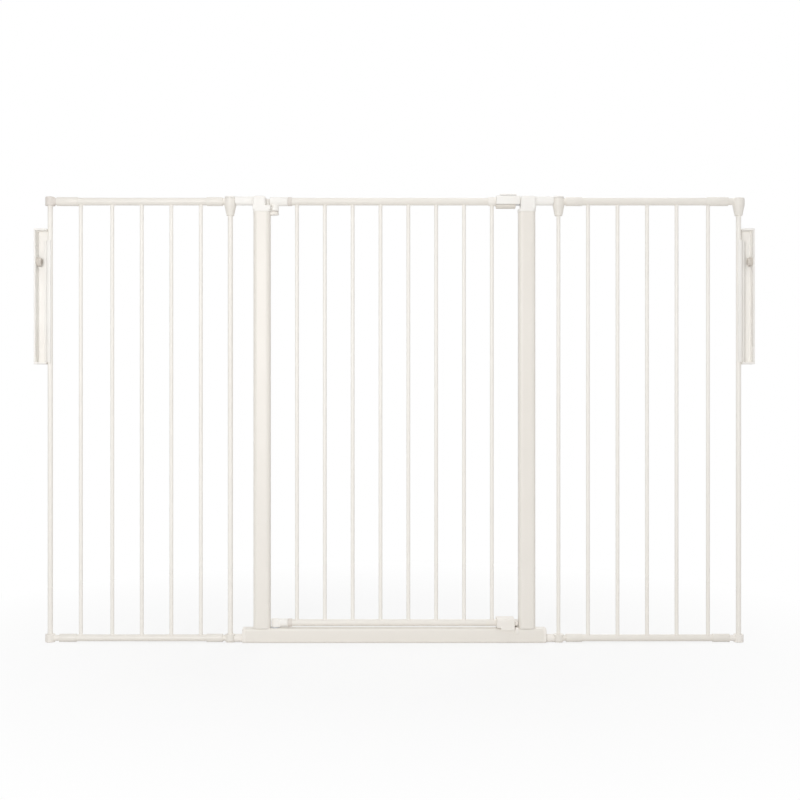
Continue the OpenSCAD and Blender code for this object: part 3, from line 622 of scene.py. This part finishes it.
def makeArms(name, side):
    low, high = span("top_arm_" + name)
    start = span("post_cap_right")[1].x
    deep, tall, gap = armSet["deep"], armSet["tall"], armSet["gap"]
    z = high.z - tall / 2
    under = span(name + "_top_knuckle")[1].z + gap
    adds = [beam("x", start, hingeX, (0, z), deep, tall, armSet["edge"]),
            beam("x", start, start + armSet["flareLength"], (0, z - 0.4),
                 deep + 2 * armSet["flare"], tall + armSet["flare"] - 0.8, armSet["edge"] + 1,
                 0.0, armSet["flareLength"] * 0.9),
            rod("z", under, high.z, armSet["lugR"], (hingeX, 0), armSet["lugEdge"],
                armSet["lugEdge"])]
    room = rod("z", z - tall, under, armSet["roomR"], (hingeX, 0))
    pin = rod("z", low.z, under + 1.5, armSet["topPinR"], (hingeX, 0), 0.8, 0.0)
    place("arm." + name, sideMoulded(adds, [room], side, armSet["voxel"], [pin]),
          "door_frame", "moulding", ["top_arm_" + name])

    low, high = span("bottom_arm_" + name)
    start = span("threshold_end_caps")[1].x
    top, footTop = armSet["footTop"], span(name + "_bottom_knuckle")[0].z - gap
    adds = [beam("x", start, hingeX, (0, (low.z + top) / 2), deep, top - low.z, armSet["edge"]),
            rod("z", low.z, footTop, armSet["footR"], (hingeX, 0), 0.8, 0.6)]
    room = rod("z", footTop, top + 5, armSet["footRoomR"], (hingeX, 0))
    pin = rod("z", footTop - 1.5, high.z, armSet["footPinR"], (hingeX, 0), 0.0, 0.8)
    place("footArm." + name, sideMoulded(adds, [room], side, armSet["voxel"], [pin]),
          "door_frame", "warmMoulding", ["bottom_arm_" + name])


lugSet = {"edge": 0.8, "pinR": 4.0, "tip": 1.0, "disc": 2.2}


def makeHingeParts():
    low, high = span("top_hinge_lug")
    r = (high.y - low.y) / 2
    outline = [(-postIn, -r), (axisX, -r)]
    outline += [(axisX + r * math.sin(a), -r * math.cos(a))
                for a in [math.pi * k / 16 for k in range(1, 16)]]
    outline += [(axisX, r), (-postIn, r)]
    plate = prism(outline, low.z, postTop, lugSet["edge"])
    pin = rod("z", postTop - 2, high.z, lugSet["pinR"], (axisX, 0), 0.0, lugSet["tip"])
    place("hingeLug", joined([plate, pin]), "door_frame", "enamel", ["top_hinge_lug"])

    low, high = span("bottom_hinge_pivot")
    disc = rod("z", low.z, low.z + lugSet["disc"], (high.x - low.x) / 2, (axisX, 0), 0.0, 0.5)
    pin = rod("z", low.z + 1, high.z, lugSet["pinR"], (axisX, 0), 0.0, lugSet["tip"])
    place("hingePivot", joined([disc, pin]), "door_frame", "zinc", ["bottom_hinge_pivot"])


keeperSet = {"wall": 2.7, "stop": 9.3, "corner": 1.6, "tubeCorner": 5.0, "edge": 0.9,
             "voxel": 0.45}


def makeKeeper():
    low, high = span("bottom_keeper")
    tube = span("threshold")
    half, stop = high.y, keeperSet["stop"]
    saddleTop = tube[1].z + keeperSet["wall"]
    adds = [beam("x", low.x, high.x, (0, (low.z + saddleTop) / 2), 2 * half, saddleTop - low.z,
                 keeperSet["corner"], keeperSet["edge"], keeperSet["edge"]),
            beam("x", low.x, high.x, ((stop + half) / 2, (tube[1].z + high.z) / 2), half - stop,
                 high.z - tube[1].z, keeperSet["corner"], keeperSet["edge"],
                 keeperSet["edge"])]
    room = beam("x", low.x - 2, high.x + 2, (0, tube[1].z / 2), tube[1].y * 2 + 0.02,
                tube[1].z + 0.02, keeperSet["tubeCorner"])
    place("keeper", moulded(adds, [room], keeperSet["voxel"], 2), "door_frame",
          "warmMoulding", ["bottom_keeper"])


bushSet = {"flange": 1.9, "flangeR": 8.0, "outer": 6.3, "inner": 4.15, "edge": 0.4}


def makeBushings():
    flange, edge, flangeR = bushSet["flange"], bushSet["edge"], bushSet["flangeR"]
    outer, inner = bushSet["outer"], bushSet["inner"]
    shapes = []
    for z0, z1 in looseSpans("hinge_bushings", 2):
        profile = [(z0, inner), (z0, flangeR - edge), (z0 + edge, flangeR),
                   (z0 + flange - edge, flangeR), (z0 + flange, flangeR - edge),
                   (z0 + flange, outer), (z1 - edge, outer), (z1, outer - edge), (z1, inner)]
        shapes.append(lathe("z", profile, (axisX, 0), hollow=True))
    place("bushings", joined(shapes), "hinge_bushings", "greyPlasticPaintedShade", ["hinge_bushings"])


makeEndCaps()
for name, side in sides.items():
    makeCap(name, side)
    makeArms(name, side)
makeHingeParts()
makeKeeper()
makeBushings()
print("door frame dressed")


# door

doorHingeSet = {"barrelR": 8.5, "wall": 1.5, "endEdge": 1.6, "voxel": 0.55, "boreR": 6.45,
                "overPin": 0.8}


def makeDoorHinge(which, pinNode, adds):
    # the barrel is bored from below, to just above its pin
    node = "door_" + which + "_hinge"
    bore = rod("z", span(node)[0].z - 2, span(pinNode)[1].z + doorHingeSet["overPin"],
               doorHingeSet["boreR"], (axisX, 0))
    mesh = moulded(adds, [bore], doorHingeSet["voxel"], 4)
    place("doorHinge." + which, mesh, "door", "moulding", [node])


def makeDoorHinges():
    barrelR, wall = doorHingeSet["barrelR"], doorHingeSet["wall"]
    low, high = span("door_top_hinge")
    makeDoorHinge("top", "top_hinge_lug", [
        rod("z", low.z, railZ, barrelR, (axisX, 0), 0.5, 0.0),
        rod("x", low.x, high.x, railR + wall, (0, railZ), doorHingeSet["endEdge"], 0.5)])

    low, high = span("door_bottom_hinge")
    railX = span("door_bottom_rail")[0].x
    makeDoorHinge("bottom", "bottom_hinge_pivot", [
        rod("z", low.z, high.z, barrelR, (axisX, 0), 0.5, 1.2),
        beam("z", low.z, doorZ + lowR, ((axisX + railX) / 2 + 1, 0), railX - axisX + 2,
             2 * barrelR - 0.6, 0.6, 0.5, 0.5),
        rod("x", railX - wall, high.x, lowR + wall, (0, doorZ), 0.8, 0.5)])


ringSet = {"wall": 1.5, "gap": 0.1, "lip": 0.8}


def makeRings():
    low, high = span("door_sleeve_rings")
    shapes = [sleeve("x", low.x + 0.15, high.x, r + ringSet["wall"], r + ringSet["gap"], (0, z),
                     ringSet["lip"]) for z, r in ((railZ, railR), (doorZ, lowR))]
    # the rings' darker finish is painted shade at the end of the hinge sleeves
    place("sleeveRings", joined(shapes), "door", "greyPlasticPaintedShade", ["door_sleeve_rings"])


snug = 0.1    # between a bar or a rail and the hole it sits in
barX = {name: [sum(ends) / 2 for ends in looseSpans(name + "_bars", 0)]
        for name in ("door", "left", "right")}
barR = 4.5


noseSet = {"inner": 9.1, "lip": 0.9}


def barSlots(xs, low, high, z0, z1):
    return [rod("z", z0, z1, barR + snug, (x, 0)) for x in xs if low - 6 < x < high + 6]


def makeNose():
    low, high = span("handle_nose")
    outer = (high.y - low.y) / 2
    mesh = meshOf(sleeve("x", low.x, high.x, outer, noseSet["inner"], (0, railZ), noseSet["lip"]))
    mesh = bored(mesh, barSlots(barX["door"], low.x, high.x, railZ - 20, railZ))
    place("handleNose", mesh, "door", "warmMoulding", ["handle_nose"])


handleSet = {"edge": 6.0, "shellEdge": 10.0, "part": 0.35, "track": 0.7, "trackR": 4.4,
             "boltWidth": 13.6, "boltTop": 1038.7, "slotAt": 12.0, "slotLong": 22.6,
             "slotWide": 8.6, "slotR": 1.5, "play": 0.3,
             "travel": 8.0, "trackLong": 0.6, "trackWide": 0.8, "shellEnds": (2.0, 1.6),
             "coverEnds": (2.4, 2.0)}


def handleBody(node, z0, z1, edge, ends):
    # a long rounded body as deep as its CAD node, cut to a height
    low, high = span("handle_shell")[0], span("handle_cover")[1]
    x0, x1, deep = span(node)[0].x, span(node)[1].x, span(node)[1].y * 2
    mesh = meshOf(beam("x", x0, x1, (0, (low.z + high.z) / 2), deep, high.z - low.z,
                       edge, ends[0], ends[1]))
    cutters, x, wide = [], (x0 + x1) / 2, x1 - x0 + 20
    if z0 > low.z:
        cutters.append(beam("z", low.z - 5, z0, (x, 0), wide, 60, 0.5))
    if z1 < high.z:
        cutters.append(beam("z", z1, high.z + 5, (x, 0), wide, 60, 0.5))
    return bored(mesh, cutters)


def makeHandle():
    shell, cover = span("handle_shell"), span("handle_cover")
    bolt, slider = span("latch_bolt"), span("latch_slider")
    split, part, wide = cover[0].z, handleSet["part"], handleSet["boltWidth"]
    boltTop, play = handleSet["boltTop"], handleSet["play"]
    railEnd = span("door_top_rail")[1].x

    def railHole():
        return rod("x", cover[0].x - 3, railEnd + snug, railR + snug, (0, railZ))

    # lower shell: narrower than the cover, open at its end for the bolt; its darker finish is
    # painted shade under the cover
    mesh = handleBody("handle_shell", shell[0].z, split - part, handleSet["shellEdge"],
                      handleSet["shellEnds"])
    channel = beam("x", bolt[0].x - play, shell[1].x + 5,
                   (0, (bolt[0].z + cover[1].z) / 2 - play / 2), wide,
                   cover[1].z - bolt[0].z + play, 0.5)
    mesh = bored(mesh, [railHole(), channel])
    place("handleShell", mesh, "door", "shellMouldingPaintedShade", ["handle_shell"])

    # cover: domed top with a shallow track for the slider, skirts that hang past the bolt
    mesh = handleBody("handle_cover", split + part, cover[1].z, handleSet["edge"],
                      handleSet["coverEnds"])
    channel = beam("x", bolt[0].x - play, cover[1].x + 5, (0, (split - 6 + boltTop + play) / 2),
                   wide, boltTop + play - split + 6, 0.5)
    slot = beam("z", split - 1, cover[1].z + 2, (bolt[0].x + handleSet["slotAt"], 0),
                handleSet["slotLong"], handleSet["slotWide"], handleSet["slotR"])
    travel = handleSet["travel"]
    track = beam("z", cover[1].z - handleSet["track"], cover[1].z + 2,
                 ((slider[0].x + slider[1].x + travel) / 2, 0),
                 slider[1].x - slider[0].x + travel + handleSet["trackLong"],
                 slider[1].y * 2 + handleSet["trackWide"], handleSet["trackR"])
    mesh = bored(mesh, [railHole(), channel, track, slot])
    place("handleCover", mesh, "door", "moulding", ["handle_cover"])


boltSet = {"wide": 13.0, "corner": 1.0, "back": 0.5, "nose": 1.6, "stemAt": 8.0,
           "stemLong": 14.0, "stemWide": 8.0}


def makeBolt():
    low, high = span("latch_bolt")
    top = handleSet["boltTop"]
    nose = beam("x", low.x, high.x, (0, (low.z + top) / 2), boltSet["wide"], top - low.z,
                boltSet["corner"], boltSet["back"], boltSet["nose"])
    stem = beam("z", top - 1.5, high.z, (low.x + boltSet["stemAt"], 0), boltSet["stemLong"],
                boltSet["stemWide"], boltSet["corner"])
    place("bolt", joined([nose, stem]), "latch", "zinc", ["latch_bolt"])


lockSet = {"edge": 4.0, "endEdge": 2.2, "groove": 0.5, "line": 9.0, "voxel": 0.6, "over": 1.5,
           "tongueUp": 11.0, "tongueWide": 18.0, "tongueTall": 10.0, "lip": 32.0,
           "railEnd": 9.9}


def makeLock():
    low, high = span("lock_block")
    bodyEnd = span("bottom_keeper")[0].x - lockSet["over"]
    floorTop = span("threshold")[1].z
    bottom, tongueZ = floorTop + lockSet["over"], floorTop + lockSet["tongueUp"]
    body = beam("x", low.x, bodyEnd, (0, (bottom + high.z) / 2), high.y * 2, high.z - bottom,
                lockSet["edge"], lockSet["endEdge"], lockSet["endEdge"])
    tongue = beam("x", bodyEnd - 5, high.x, (0, tongueZ), lockSet["tongueWide"],
                  lockSet["tongueTall"], 1.2, 0.0, 1.6)
    lipY = (low.y, -span("threshold")[1].y - lockSet["over"])
    lip = beam("x", bodyEnd - lockSet["lip"], bodyEnd, (sum(lipY) / 2, (low.z + bottom + 5) / 2),
               lipY[1] - lipY[0], bottom + 5 - low.z, 0.9, 0.8, lockSet["endEdge"] / 2)
    railBore = rod("x", low.x - 2, bodyEnd - lockSet["railEnd"], lowR + snug, (0, doorZ))
    mesh = moulded([body, tongue, lip], [railBore], lockSet["voxel"], 3)
    # a fine parting line scored on the block's two long faces
    scores = [beam("x", low.x + 3, bodyEnd - 3, (side * (high.y + 0.2), high.z - lockSet["line"]),
                   1.0, lockSet["groove"], 0.2) for side in (-1, 1)]
    place("lockBlock", bored(mesh, scores), "door", "warmMoulding", ["lock_block"])


makeDoorHinges()
makeRings()
makeNose()
makeHandle()
makeBolt()
makeLock()
print("door dressed")


# side panels

knuckleSet = {"r": 14.0, "foot": 9.0, "footEdge": 0.8, "lowR": 12.0, "cornerR": 11.5, "voxel": 0.6,
              "topEdge": 1.4, "cornerEdge": 2.4, "neckGap": 1.0, "spigot": 26.0,
              "spigotGap": 1.3, "topBoreR": 4.65, "lowBoreR": 4.15, "lowBoreTop": 10.5,
              "endBoreR": 6.1}


def taper(x, top, foot, edge):
    # a fitting that widens upwards to the rail's height, then goes straight up
    r0, r1, ease = knuckleSet["foot"], knuckleSet["r"], knuckleSet["footEdge"]
    z1 = railZ - railR
    profile = [(foot, r0 - ease), (foot + ease, r0), (z1 - 0.5, r1 - 0.2), (z1 + 1.0, r1)]
    profile += [(place, r1 - pull) for place, pull in roundedStations(z1 + 2, top, 0.0, edge)]
    return lathe("z", profile, (x, 0))


def makeFitting(piece, node, name, side, x, turn, core, bores, finishName="enamel"):
    # a core on a bar's axis, with the neck and spigot that reach into the rail beside it
    upper = "_top_" in node
    rail = outward(name + ("_top_rail" if upper else "_bottom_rail"), side)
    z, r = (railZ, railR) if upper else (sideZ, lowR)
    reach = rail[0] - x if turn > 0 else x - rail[1]
    shapes = [rod("x", 0, reach, r - knuckleSet["neckGap"], (0, z)),
              rod("x", 0, reach + knuckleSet["spigot"], r - knuckleSet["spigotGap"], (0, z),
                  0.0, 0.6)]
    for shape in shapes:
        for vert in shape.verts:
            vert.co.x = x + turn * vert.co.x
        if turn < 0:
            bmesh.ops.reverse_faces(shape, faces=shape.faces)
    mesh = sideMoulded([core] + shapes, bores, side, knuckleSet["voxel"])
    place(piece + "." + name, mesh, name + "_panel", finishName, [name + node])


def makeKnuckles(name, side):
    bar = span(name + "_hinge_bar")
    socketR = (bar[1].y - bar[0].y) / 2 + snug
    low, high = span(name + "_top_knuckle")
    makeFitting("knuckle", "_top_knuckle", name, side, hingeX, 1,
                taper(hingeX, high.z, low.z, knuckleSet["topEdge"]),
                [rod("z", bar[1].z + 1.5, high.z + 2, knuckleSet["topBoreR"], (hingeX, 0)),
                 rod("z", low.z - 2, bar[1].z, socketR, (hingeX, 0))])

    low, high = span(name + "_bottom_knuckle")
    makeFitting("footKnuckle", "_bottom_knuckle", name, side, hingeX, 1,
                rod("z", low.z, high.z, knuckleSet["lowR"], (hingeX, 0), 0.8, 1.4),
                [beam("z", -20, low.z, (hingeX, 0), 22.0, 40, 0.5),
                 rod("z", low.z - 2, knuckleSet["lowBoreTop"], knuckleSet["lowBoreR"],
                     (hingeX, 0)),
                 rod("z", bar[0].z, high.z + 2, socketR, (hingeX, 0))])


def makeCorners(name, side):
    edge, radius, boreR = (knuckleSet[key] for key in ("cornerEdge", "cornerR", "endBoreR"))
    bar = span(name + "_end_bar")
    low, high = span(name + "_top_corner")
    core = (rod("z", low.z, high.z, radius, (endX, 0), 0.8, edge) if side < 0
            else taper(endX, high.z, low.z, edge))
    makeFitting("corner", "_top_corner", name, side, endX, -1, core,
                [rod("z", low.z - 2, bar[1].z, boreR, (endX, 0))],
                "greyPlasticPaintedShade" if side < 0 else "enamel")

    low, high = span(name + "_bottom_corner")
    makeFitting("footCorner", "_bottom_corner", name, side, endX, -1,
                rod("z", low.z, high.z, radius, (endX, 0), 1.2, 1.4),
                [rod("z", bar[0].z, high.z + 2, boreR, (endX, 0))], "warmMoulding")


collarSet = {"wall": 1.5, "gap": 0.1, "lip": 0.6, "hinge": 38.0, "outer": 50.0, "low": 40.0}


def makeCollars(name, side):
    # four sleeves over the rail ends, slotted where a bar meets them
    ends = []
    for rail, z, r, outer in (("_top_rail", railZ, railR, collarSet["outer"]),
                              ("_bottom_rail", sideZ, lowR, collarSet["low"])):
        a, b = outward(name + rail, side)
        ends += [(a, a + collarSet["hinge"], z, r), (b - outer, b, z, r)]
    bars = [side * x for x in barX[name]]
    shapes = []
    for a, b, z, r in ends:
        mesh = meshOf(sleeve("x", a, b, r + collarSet["wall"], r + collarSet["gap"], (0, z),
                             collarSet["lip"]))
        z0, z1 = (z - 20, z) if z == railZ else (z, z + 20)
        mesh = bored(mesh, barSlots(bars, a, b, z0, z1))
        shapes.append(flipped(bmeshOf(mesh), side))
    place("collars." + name, joined(shapes), name + "_panel", "enamel", [name + "_collars"])


for name, side in sides.items():
    makeKnuckles(name, side)
    makeCorners(name, side)
    makeCollars(name, side)
print("side panels dressed")


# wall brackets

plateSet = {"side": 4.0, "back": 3.0, "end": 4.5, "edge": 1.2, "inner": 1.2, "corner": 1.6,
            "screwR": 2.6, "sinkR": 4.5, "sinkDeep": 1.2, "screwInset": 40.0, "shaftR": 5.6}


def makePlate(name, side):
    # a long tray, open to the front and to the end bar
    low, high = span(name + "_wall_plate")
    x0, wallX = outward(name + "_wall_plate", side)
    z0, z1 = low.z, high.z
    sideX, end = wallX - plateSet["side"], plateSet["end"]
    backY, holeY, midZ = high.y - plateSet["back"], -plateSet["back"] / 2, (z0 + z1) / 2
    tray = meshOf(beam("y", low.y, high.y, ((x0 + wallX) / 2, midZ), wallX - x0, z1 - z0,
                       plateSet["corner"], plateSet["edge"], 0.6))
    well = beam("y", low.y - 3, backY, ((x0 - 20 + sideX) / 2, midZ),
                sideX - x0 + 20, z1 - z0 - 2 * end, plateSet["inner"], 0.0, plateSet["inner"])
    cutters = [well]
    for screwZ in (z0 + plateSet["screwInset"], z1 - plateSet["screwInset"]):
        profile = [(sideX - 1, plateSet["sinkR"] + 0.4), (sideX, plateSet["sinkR"]),
                   (sideX + plateSet["sinkDeep"], plateSet["screwR"]),
                   (wallX + 1, plateSet["screwR"])]
        cutters.append(lathe("x", profile, (holeY, screwZ), 32))
    knob = middle(name + "_plate_knob")
    cutters.append(rod("x", sideX - 1, wallX + 1, plateSet["shaftR"], (holeY, knob.z)))
    place("wallPlate." + name, flipped(bmeshOf(bored(tray, cutters)), side),
          name + "_bracket", "moulding", [name + "_wall_plate"])


jawSet = {"wall": 3.8, "mouth": 3.0, "block": 5.0, "edge": 0.8, "corner": 1.6, "gap": 0.15}


def makeJaw(name, side):
    # a clip round the end bar, open to the gate, with a block against the tray
    low, high = span(name + "_bar_jaw")
    bar = span(name + "_end_bar")
    boreR = (bar[1].y - bar[0].y) / 2 + jawSet["gap"]
    outR = boreR - jawSet["gap"] + jawSet["wall"]
    blockX, backY, mouth = outR + jawSet["block"], high.y, -jawSet["mouth"]

    def arc(r, start, end, steps):
        return [(r * math.cos(start + (end - start) * k / steps),
                 r * math.sin(start + (end - start) * k / steps)) for k in range(steps + 1)]

    lipIn, lipOut = math.acos(mouth / boreR), math.acos(mouth / outR)
    outline = arc(boreR, -lipIn, lipIn, 32) + arc(outR, lipOut, math.pi / 2, 4)
    outline += [(0.0, backY), (blockX, backY)]
    outline += easedCorner((blockX, backY), (blockX, 0.0), (outR, 0.0), jawSet["corner"])
    outline += arc(outR, 0.0, -lipOut, 12)
    shape = prism([(u + endX, v) for u, v in outline], low.z, high.z, jawSet["edge"])
    place("barJaw." + name, flipped(shape, side), name + "_bracket", "moulding",
          [name + "_bar_jaw"])


for name, side in sides.items():
    makePlate(name, side)
    makeJaw(name, side)
print("wall brackets dressed")


# Geometry Nodes: what repeats

class Tree:
    # a geometry node tree with named inputs, ending in Realize Instances and Set Material
    def __init__(self, name, **inputs):
        self.tree = bpy.data.node_groups.new(name, "GeometryNodeTree")
        face = self.tree.interface
        face.new_socket("Geometry", in_out="INPUT", socket_type="NodeSocketGeometry")
        for label, value in inputs.items():
            kind = {int: "Int", float: "Float"}.get(type(value), "Material")
            socket = face.new_socket(label, in_out="INPUT", socket_type="NodeSocket" + kind)
            socket.default_value = value
        face.new_socket("Geometry", in_out="OUTPUT", socket_type="NodeSocketGeometry")
        self.input = self.tree.nodes.new("NodeGroupInput")
        self.wire = Wire(self.tree)

    def __getitem__(self, label):
        return Wire(self.tree, self.input.outputs[label])

    def vector(self, **parts):
        return self.wire.node("ShaderNodeCombineXYZ", {}, parts)

    def ring(self, steps, radius):
        sockets = {"Resolution": steps, "Radius": radius}
        return self.wire.node("GeometryNodeCurvePrimitiveCircle", {}, sockets)

    def line(self, start, end):
        sockets = {"Start": start, "End": end}
        return self.wire.node("GeometryNodeCurvePrimitiveLine", {}, sockets)

    def swept(self, curve, section, caps):
        sockets = {"Curve": curve, "Profile Curve": section, "Fill Caps": caps}
        return self.wire.node("GeometryNodeCurveToMesh", {}, sockets)

    def spread(self, points, piece, **more):
        sockets = {"Points": points, "Instance": piece, **more}
        return self.wire.node("GeometryNodeInstanceOnPoints", {}, sockets)

    def end(self, geometry):
        real = self.wire.node("GeometryNodeRealizeInstances", {}, {"Geometry": geometry})
        smooth = self.wire.node("GeometryNodeSetShadeSmooth", {}, {"Geometry": real})
        coated = self.wire.node("GeometryNodeSetMaterial", {}, {"Geometry": smooth,
                                                                "Material": self["finish"]})
        out = self.tree.nodes.new("NodeGroupOutput")
        self.tree.links.new(coated.socket, out.inputs["Geometry"])
        return self.tree


def grown(name, tree, spots=(), **inputs):
    # what a tree makes from a start mesh of loose points, each with its turn about X
    mesh = bpy.data.meshes.new(name)
    if spots:
        mesh.from_pydata([place for place, turn in spots], [], [])
        turns = mesh.attributes.new("turn", "FLOAT_VECTOR", "POINT")
        for k, (place, turn) in enumerate(spots):
            turns.data[k].vector = (turn, 0, 0)
    return bmeshOf(evaluated(mesh, [("NODES", {"node_group": tree})], **inputs))


weldSet = {"bead": 0.6}


def weldTree():
    # a saddle-shaped bead round a bar where it stands on a rail
    made = Tree("weldBeads", railRadius=railR, barRadius=barR, bead=weldSet["bead"],
                finish=finish["enamel"])
    wire = made.wire
    circle = made.ring(28, made["barRadius"] + made["bead"] * 0.15)
    y = wire.node("ShaderNodeSeparateXYZ", {}, {0: wire.node("GeometryNodeInputPosition")}, 1)
    r = made["railRadius"] + made["bead"] * 0.1
    up = wire.node("ShaderNodeMath", {"operation": "SQRT"}, {0: r * r - y * y})
    saddle = wire.node("GeometryNodeSetPosition", {}, {
        "Geometry": circle, "Offset": made.vector(Z=up)})
    turn = wire.node("GeometryNodeInputNamedAttribute", {"data_type": "FLOAT_VECTOR"},
                     {"Name": "turn"})
    bead = made.swept(saddle, made.ring(8, made["bead"]), False)
    return made.end(made.spread(made["Geometry"], bead, Rotation=turn))


def makeWelds():
    tree = weldTree()
    for body, prefix in (("door", "door"), ("left_panel", "left"), ("right_panel", "right")):
        lowZ = doorZ if prefix == "door" else sideZ
        shapes = []
        for z, turn, r in ((railZ, math.pi, railR), (lowZ, 0.0, lowR)):
            spots = [((x, 0, z), turn) for x in barX[prefix]]
            shapes.append(grown("spots", tree, spots, railRadius=r))
        place("welds." + prefix, joined(shapes), body, "enamel")


sliderSet = {"edge": 1.3, "corner": 4.0, "ribs": 7, "ribPitch": 3.4, "ribR": 0.55,
             "ribLength": 14.0, "sink": 0.15}


def ribTree():
    # straight ribs in a row, half sunk in the face below them
    made = Tree("gripRibs", count=sliderSet["ribs"], pitch=sliderSet["ribPitch"],
                length=sliderSet["ribLength"], radius=sliderSet["ribR"],
                finish=finish["moulding"])
    row = made.wire.node("GeometryNodeMeshLine", {}, {
        "Count": made["count"], "Offset": made.vector(X=made["pitch"])})
    half = made["length"] * 0.5
    line = made.line(made.vector(Y=half * -1.0), made.vector(Y=half))
    rib = made.swept(line, made.ring(12, made["radius"]), True)
    return made.end(made.spread(row, rib))


def makeSlider():
    low, high = span("latch_slider")
    top = high.z - sliderSet["ribR"] + sliderSet["sink"]
    base = beam("z", low.z, top, ((low.x + high.x) / 2, 0), high.x - low.x, high.y * 2,
                sliderSet["corner"], 0.3, sliderSet["edge"])
    ribs = grown("row", ribTree())
    start = (low.x + high.x - (sliderSet["ribs"] - 1) * sliderSet["ribPitch"]) / 2
    bmesh.ops.translate(ribs, verts=ribs.verts, vec=(start, 0, top - sliderSet["sink"]))
    place("slider", joined([base, ribs]), "latch", "moulding", ["latch_slider"])


knobSet = {"rimInset": 0.4, "edge": 3.0, "dish": 0.8, "dishR": 5.2, "teeth": 30, "shaftR": 5.5,
           "seatGap": 0.1, "toothGap": 0.01}


def knurlTree():
    # fine teeth round the rim of a knob, whose axis is X
    made = Tree("knurls", count=knobSet["teeth"], rim=0.0, width=0.0,
                tooth=knobSet["rimInset"] - knobSet["toothGap"], finish=finish["darkPlastic"])
    circle = made.wire.node("GeometryNodeMeshCircle", {}, {"Vertices": made["count"],
                                                           "Radius": made["rim"]})
    line = made.line((0, 0, 0), made.vector(Z=made["width"]))
    tooth = made.swept(line, made.ring(8, made["tooth"]), True)
    stood = made.wire.node("GeometryNodeTransform", {}, {
        "Geometry": made.spread(circle, tooth), "Rotation": (0, math.pi / 2, 0)})
    return made.end(stood)


def makeKnobs():
    tree = knurlTree()
    for name, side in sides.items():
        low, high = span(name + "_plate_knob")
        y, z = (low.y + high.y) / 2, (low.z + high.z) / 2
        a, wall = outward(name + "_plate_knob", side)
        floorX = outward(name + "_wall_plate", side)[1] - plateSet["side"]
        seat, edge, dishR = floorX - knobSet["seatGap"], knobSet["edge"], knobSet["dishR"]
        r = (high.z - low.z) / 2 - knobSet["rimInset"]
        profile = [(a + knobSet["dish"], 0.0), (a + knobSet["dish"], dishR - 1.5), (a, dishR)]
        profile += [(place, r - pull) for place, pull in roundedStations(a, seat, edge, 0.4)]
        profile += [(seat, knobSet["shaftR"]), (wall, knobSet["shaftR"]), (wall, 0.0)]
        body = lathe("x", profile, (y, z))
        teeth = grown("rim", tree, rim=r, width=floorX - a - 2 * knobSet["seatGap"] - edge)
        bmesh.ops.translate(teeth, verts=teeth.verts, vec=(a + edge, y, z))
        place("knob." + name, flipped(joined([body, teeth]), side), name + "_bracket",
              "darkPlastic", [name + "_plate_knob"])


makeWelds()
makeSlider()
makeKnobs()
print("welds, slider and knobs grown")
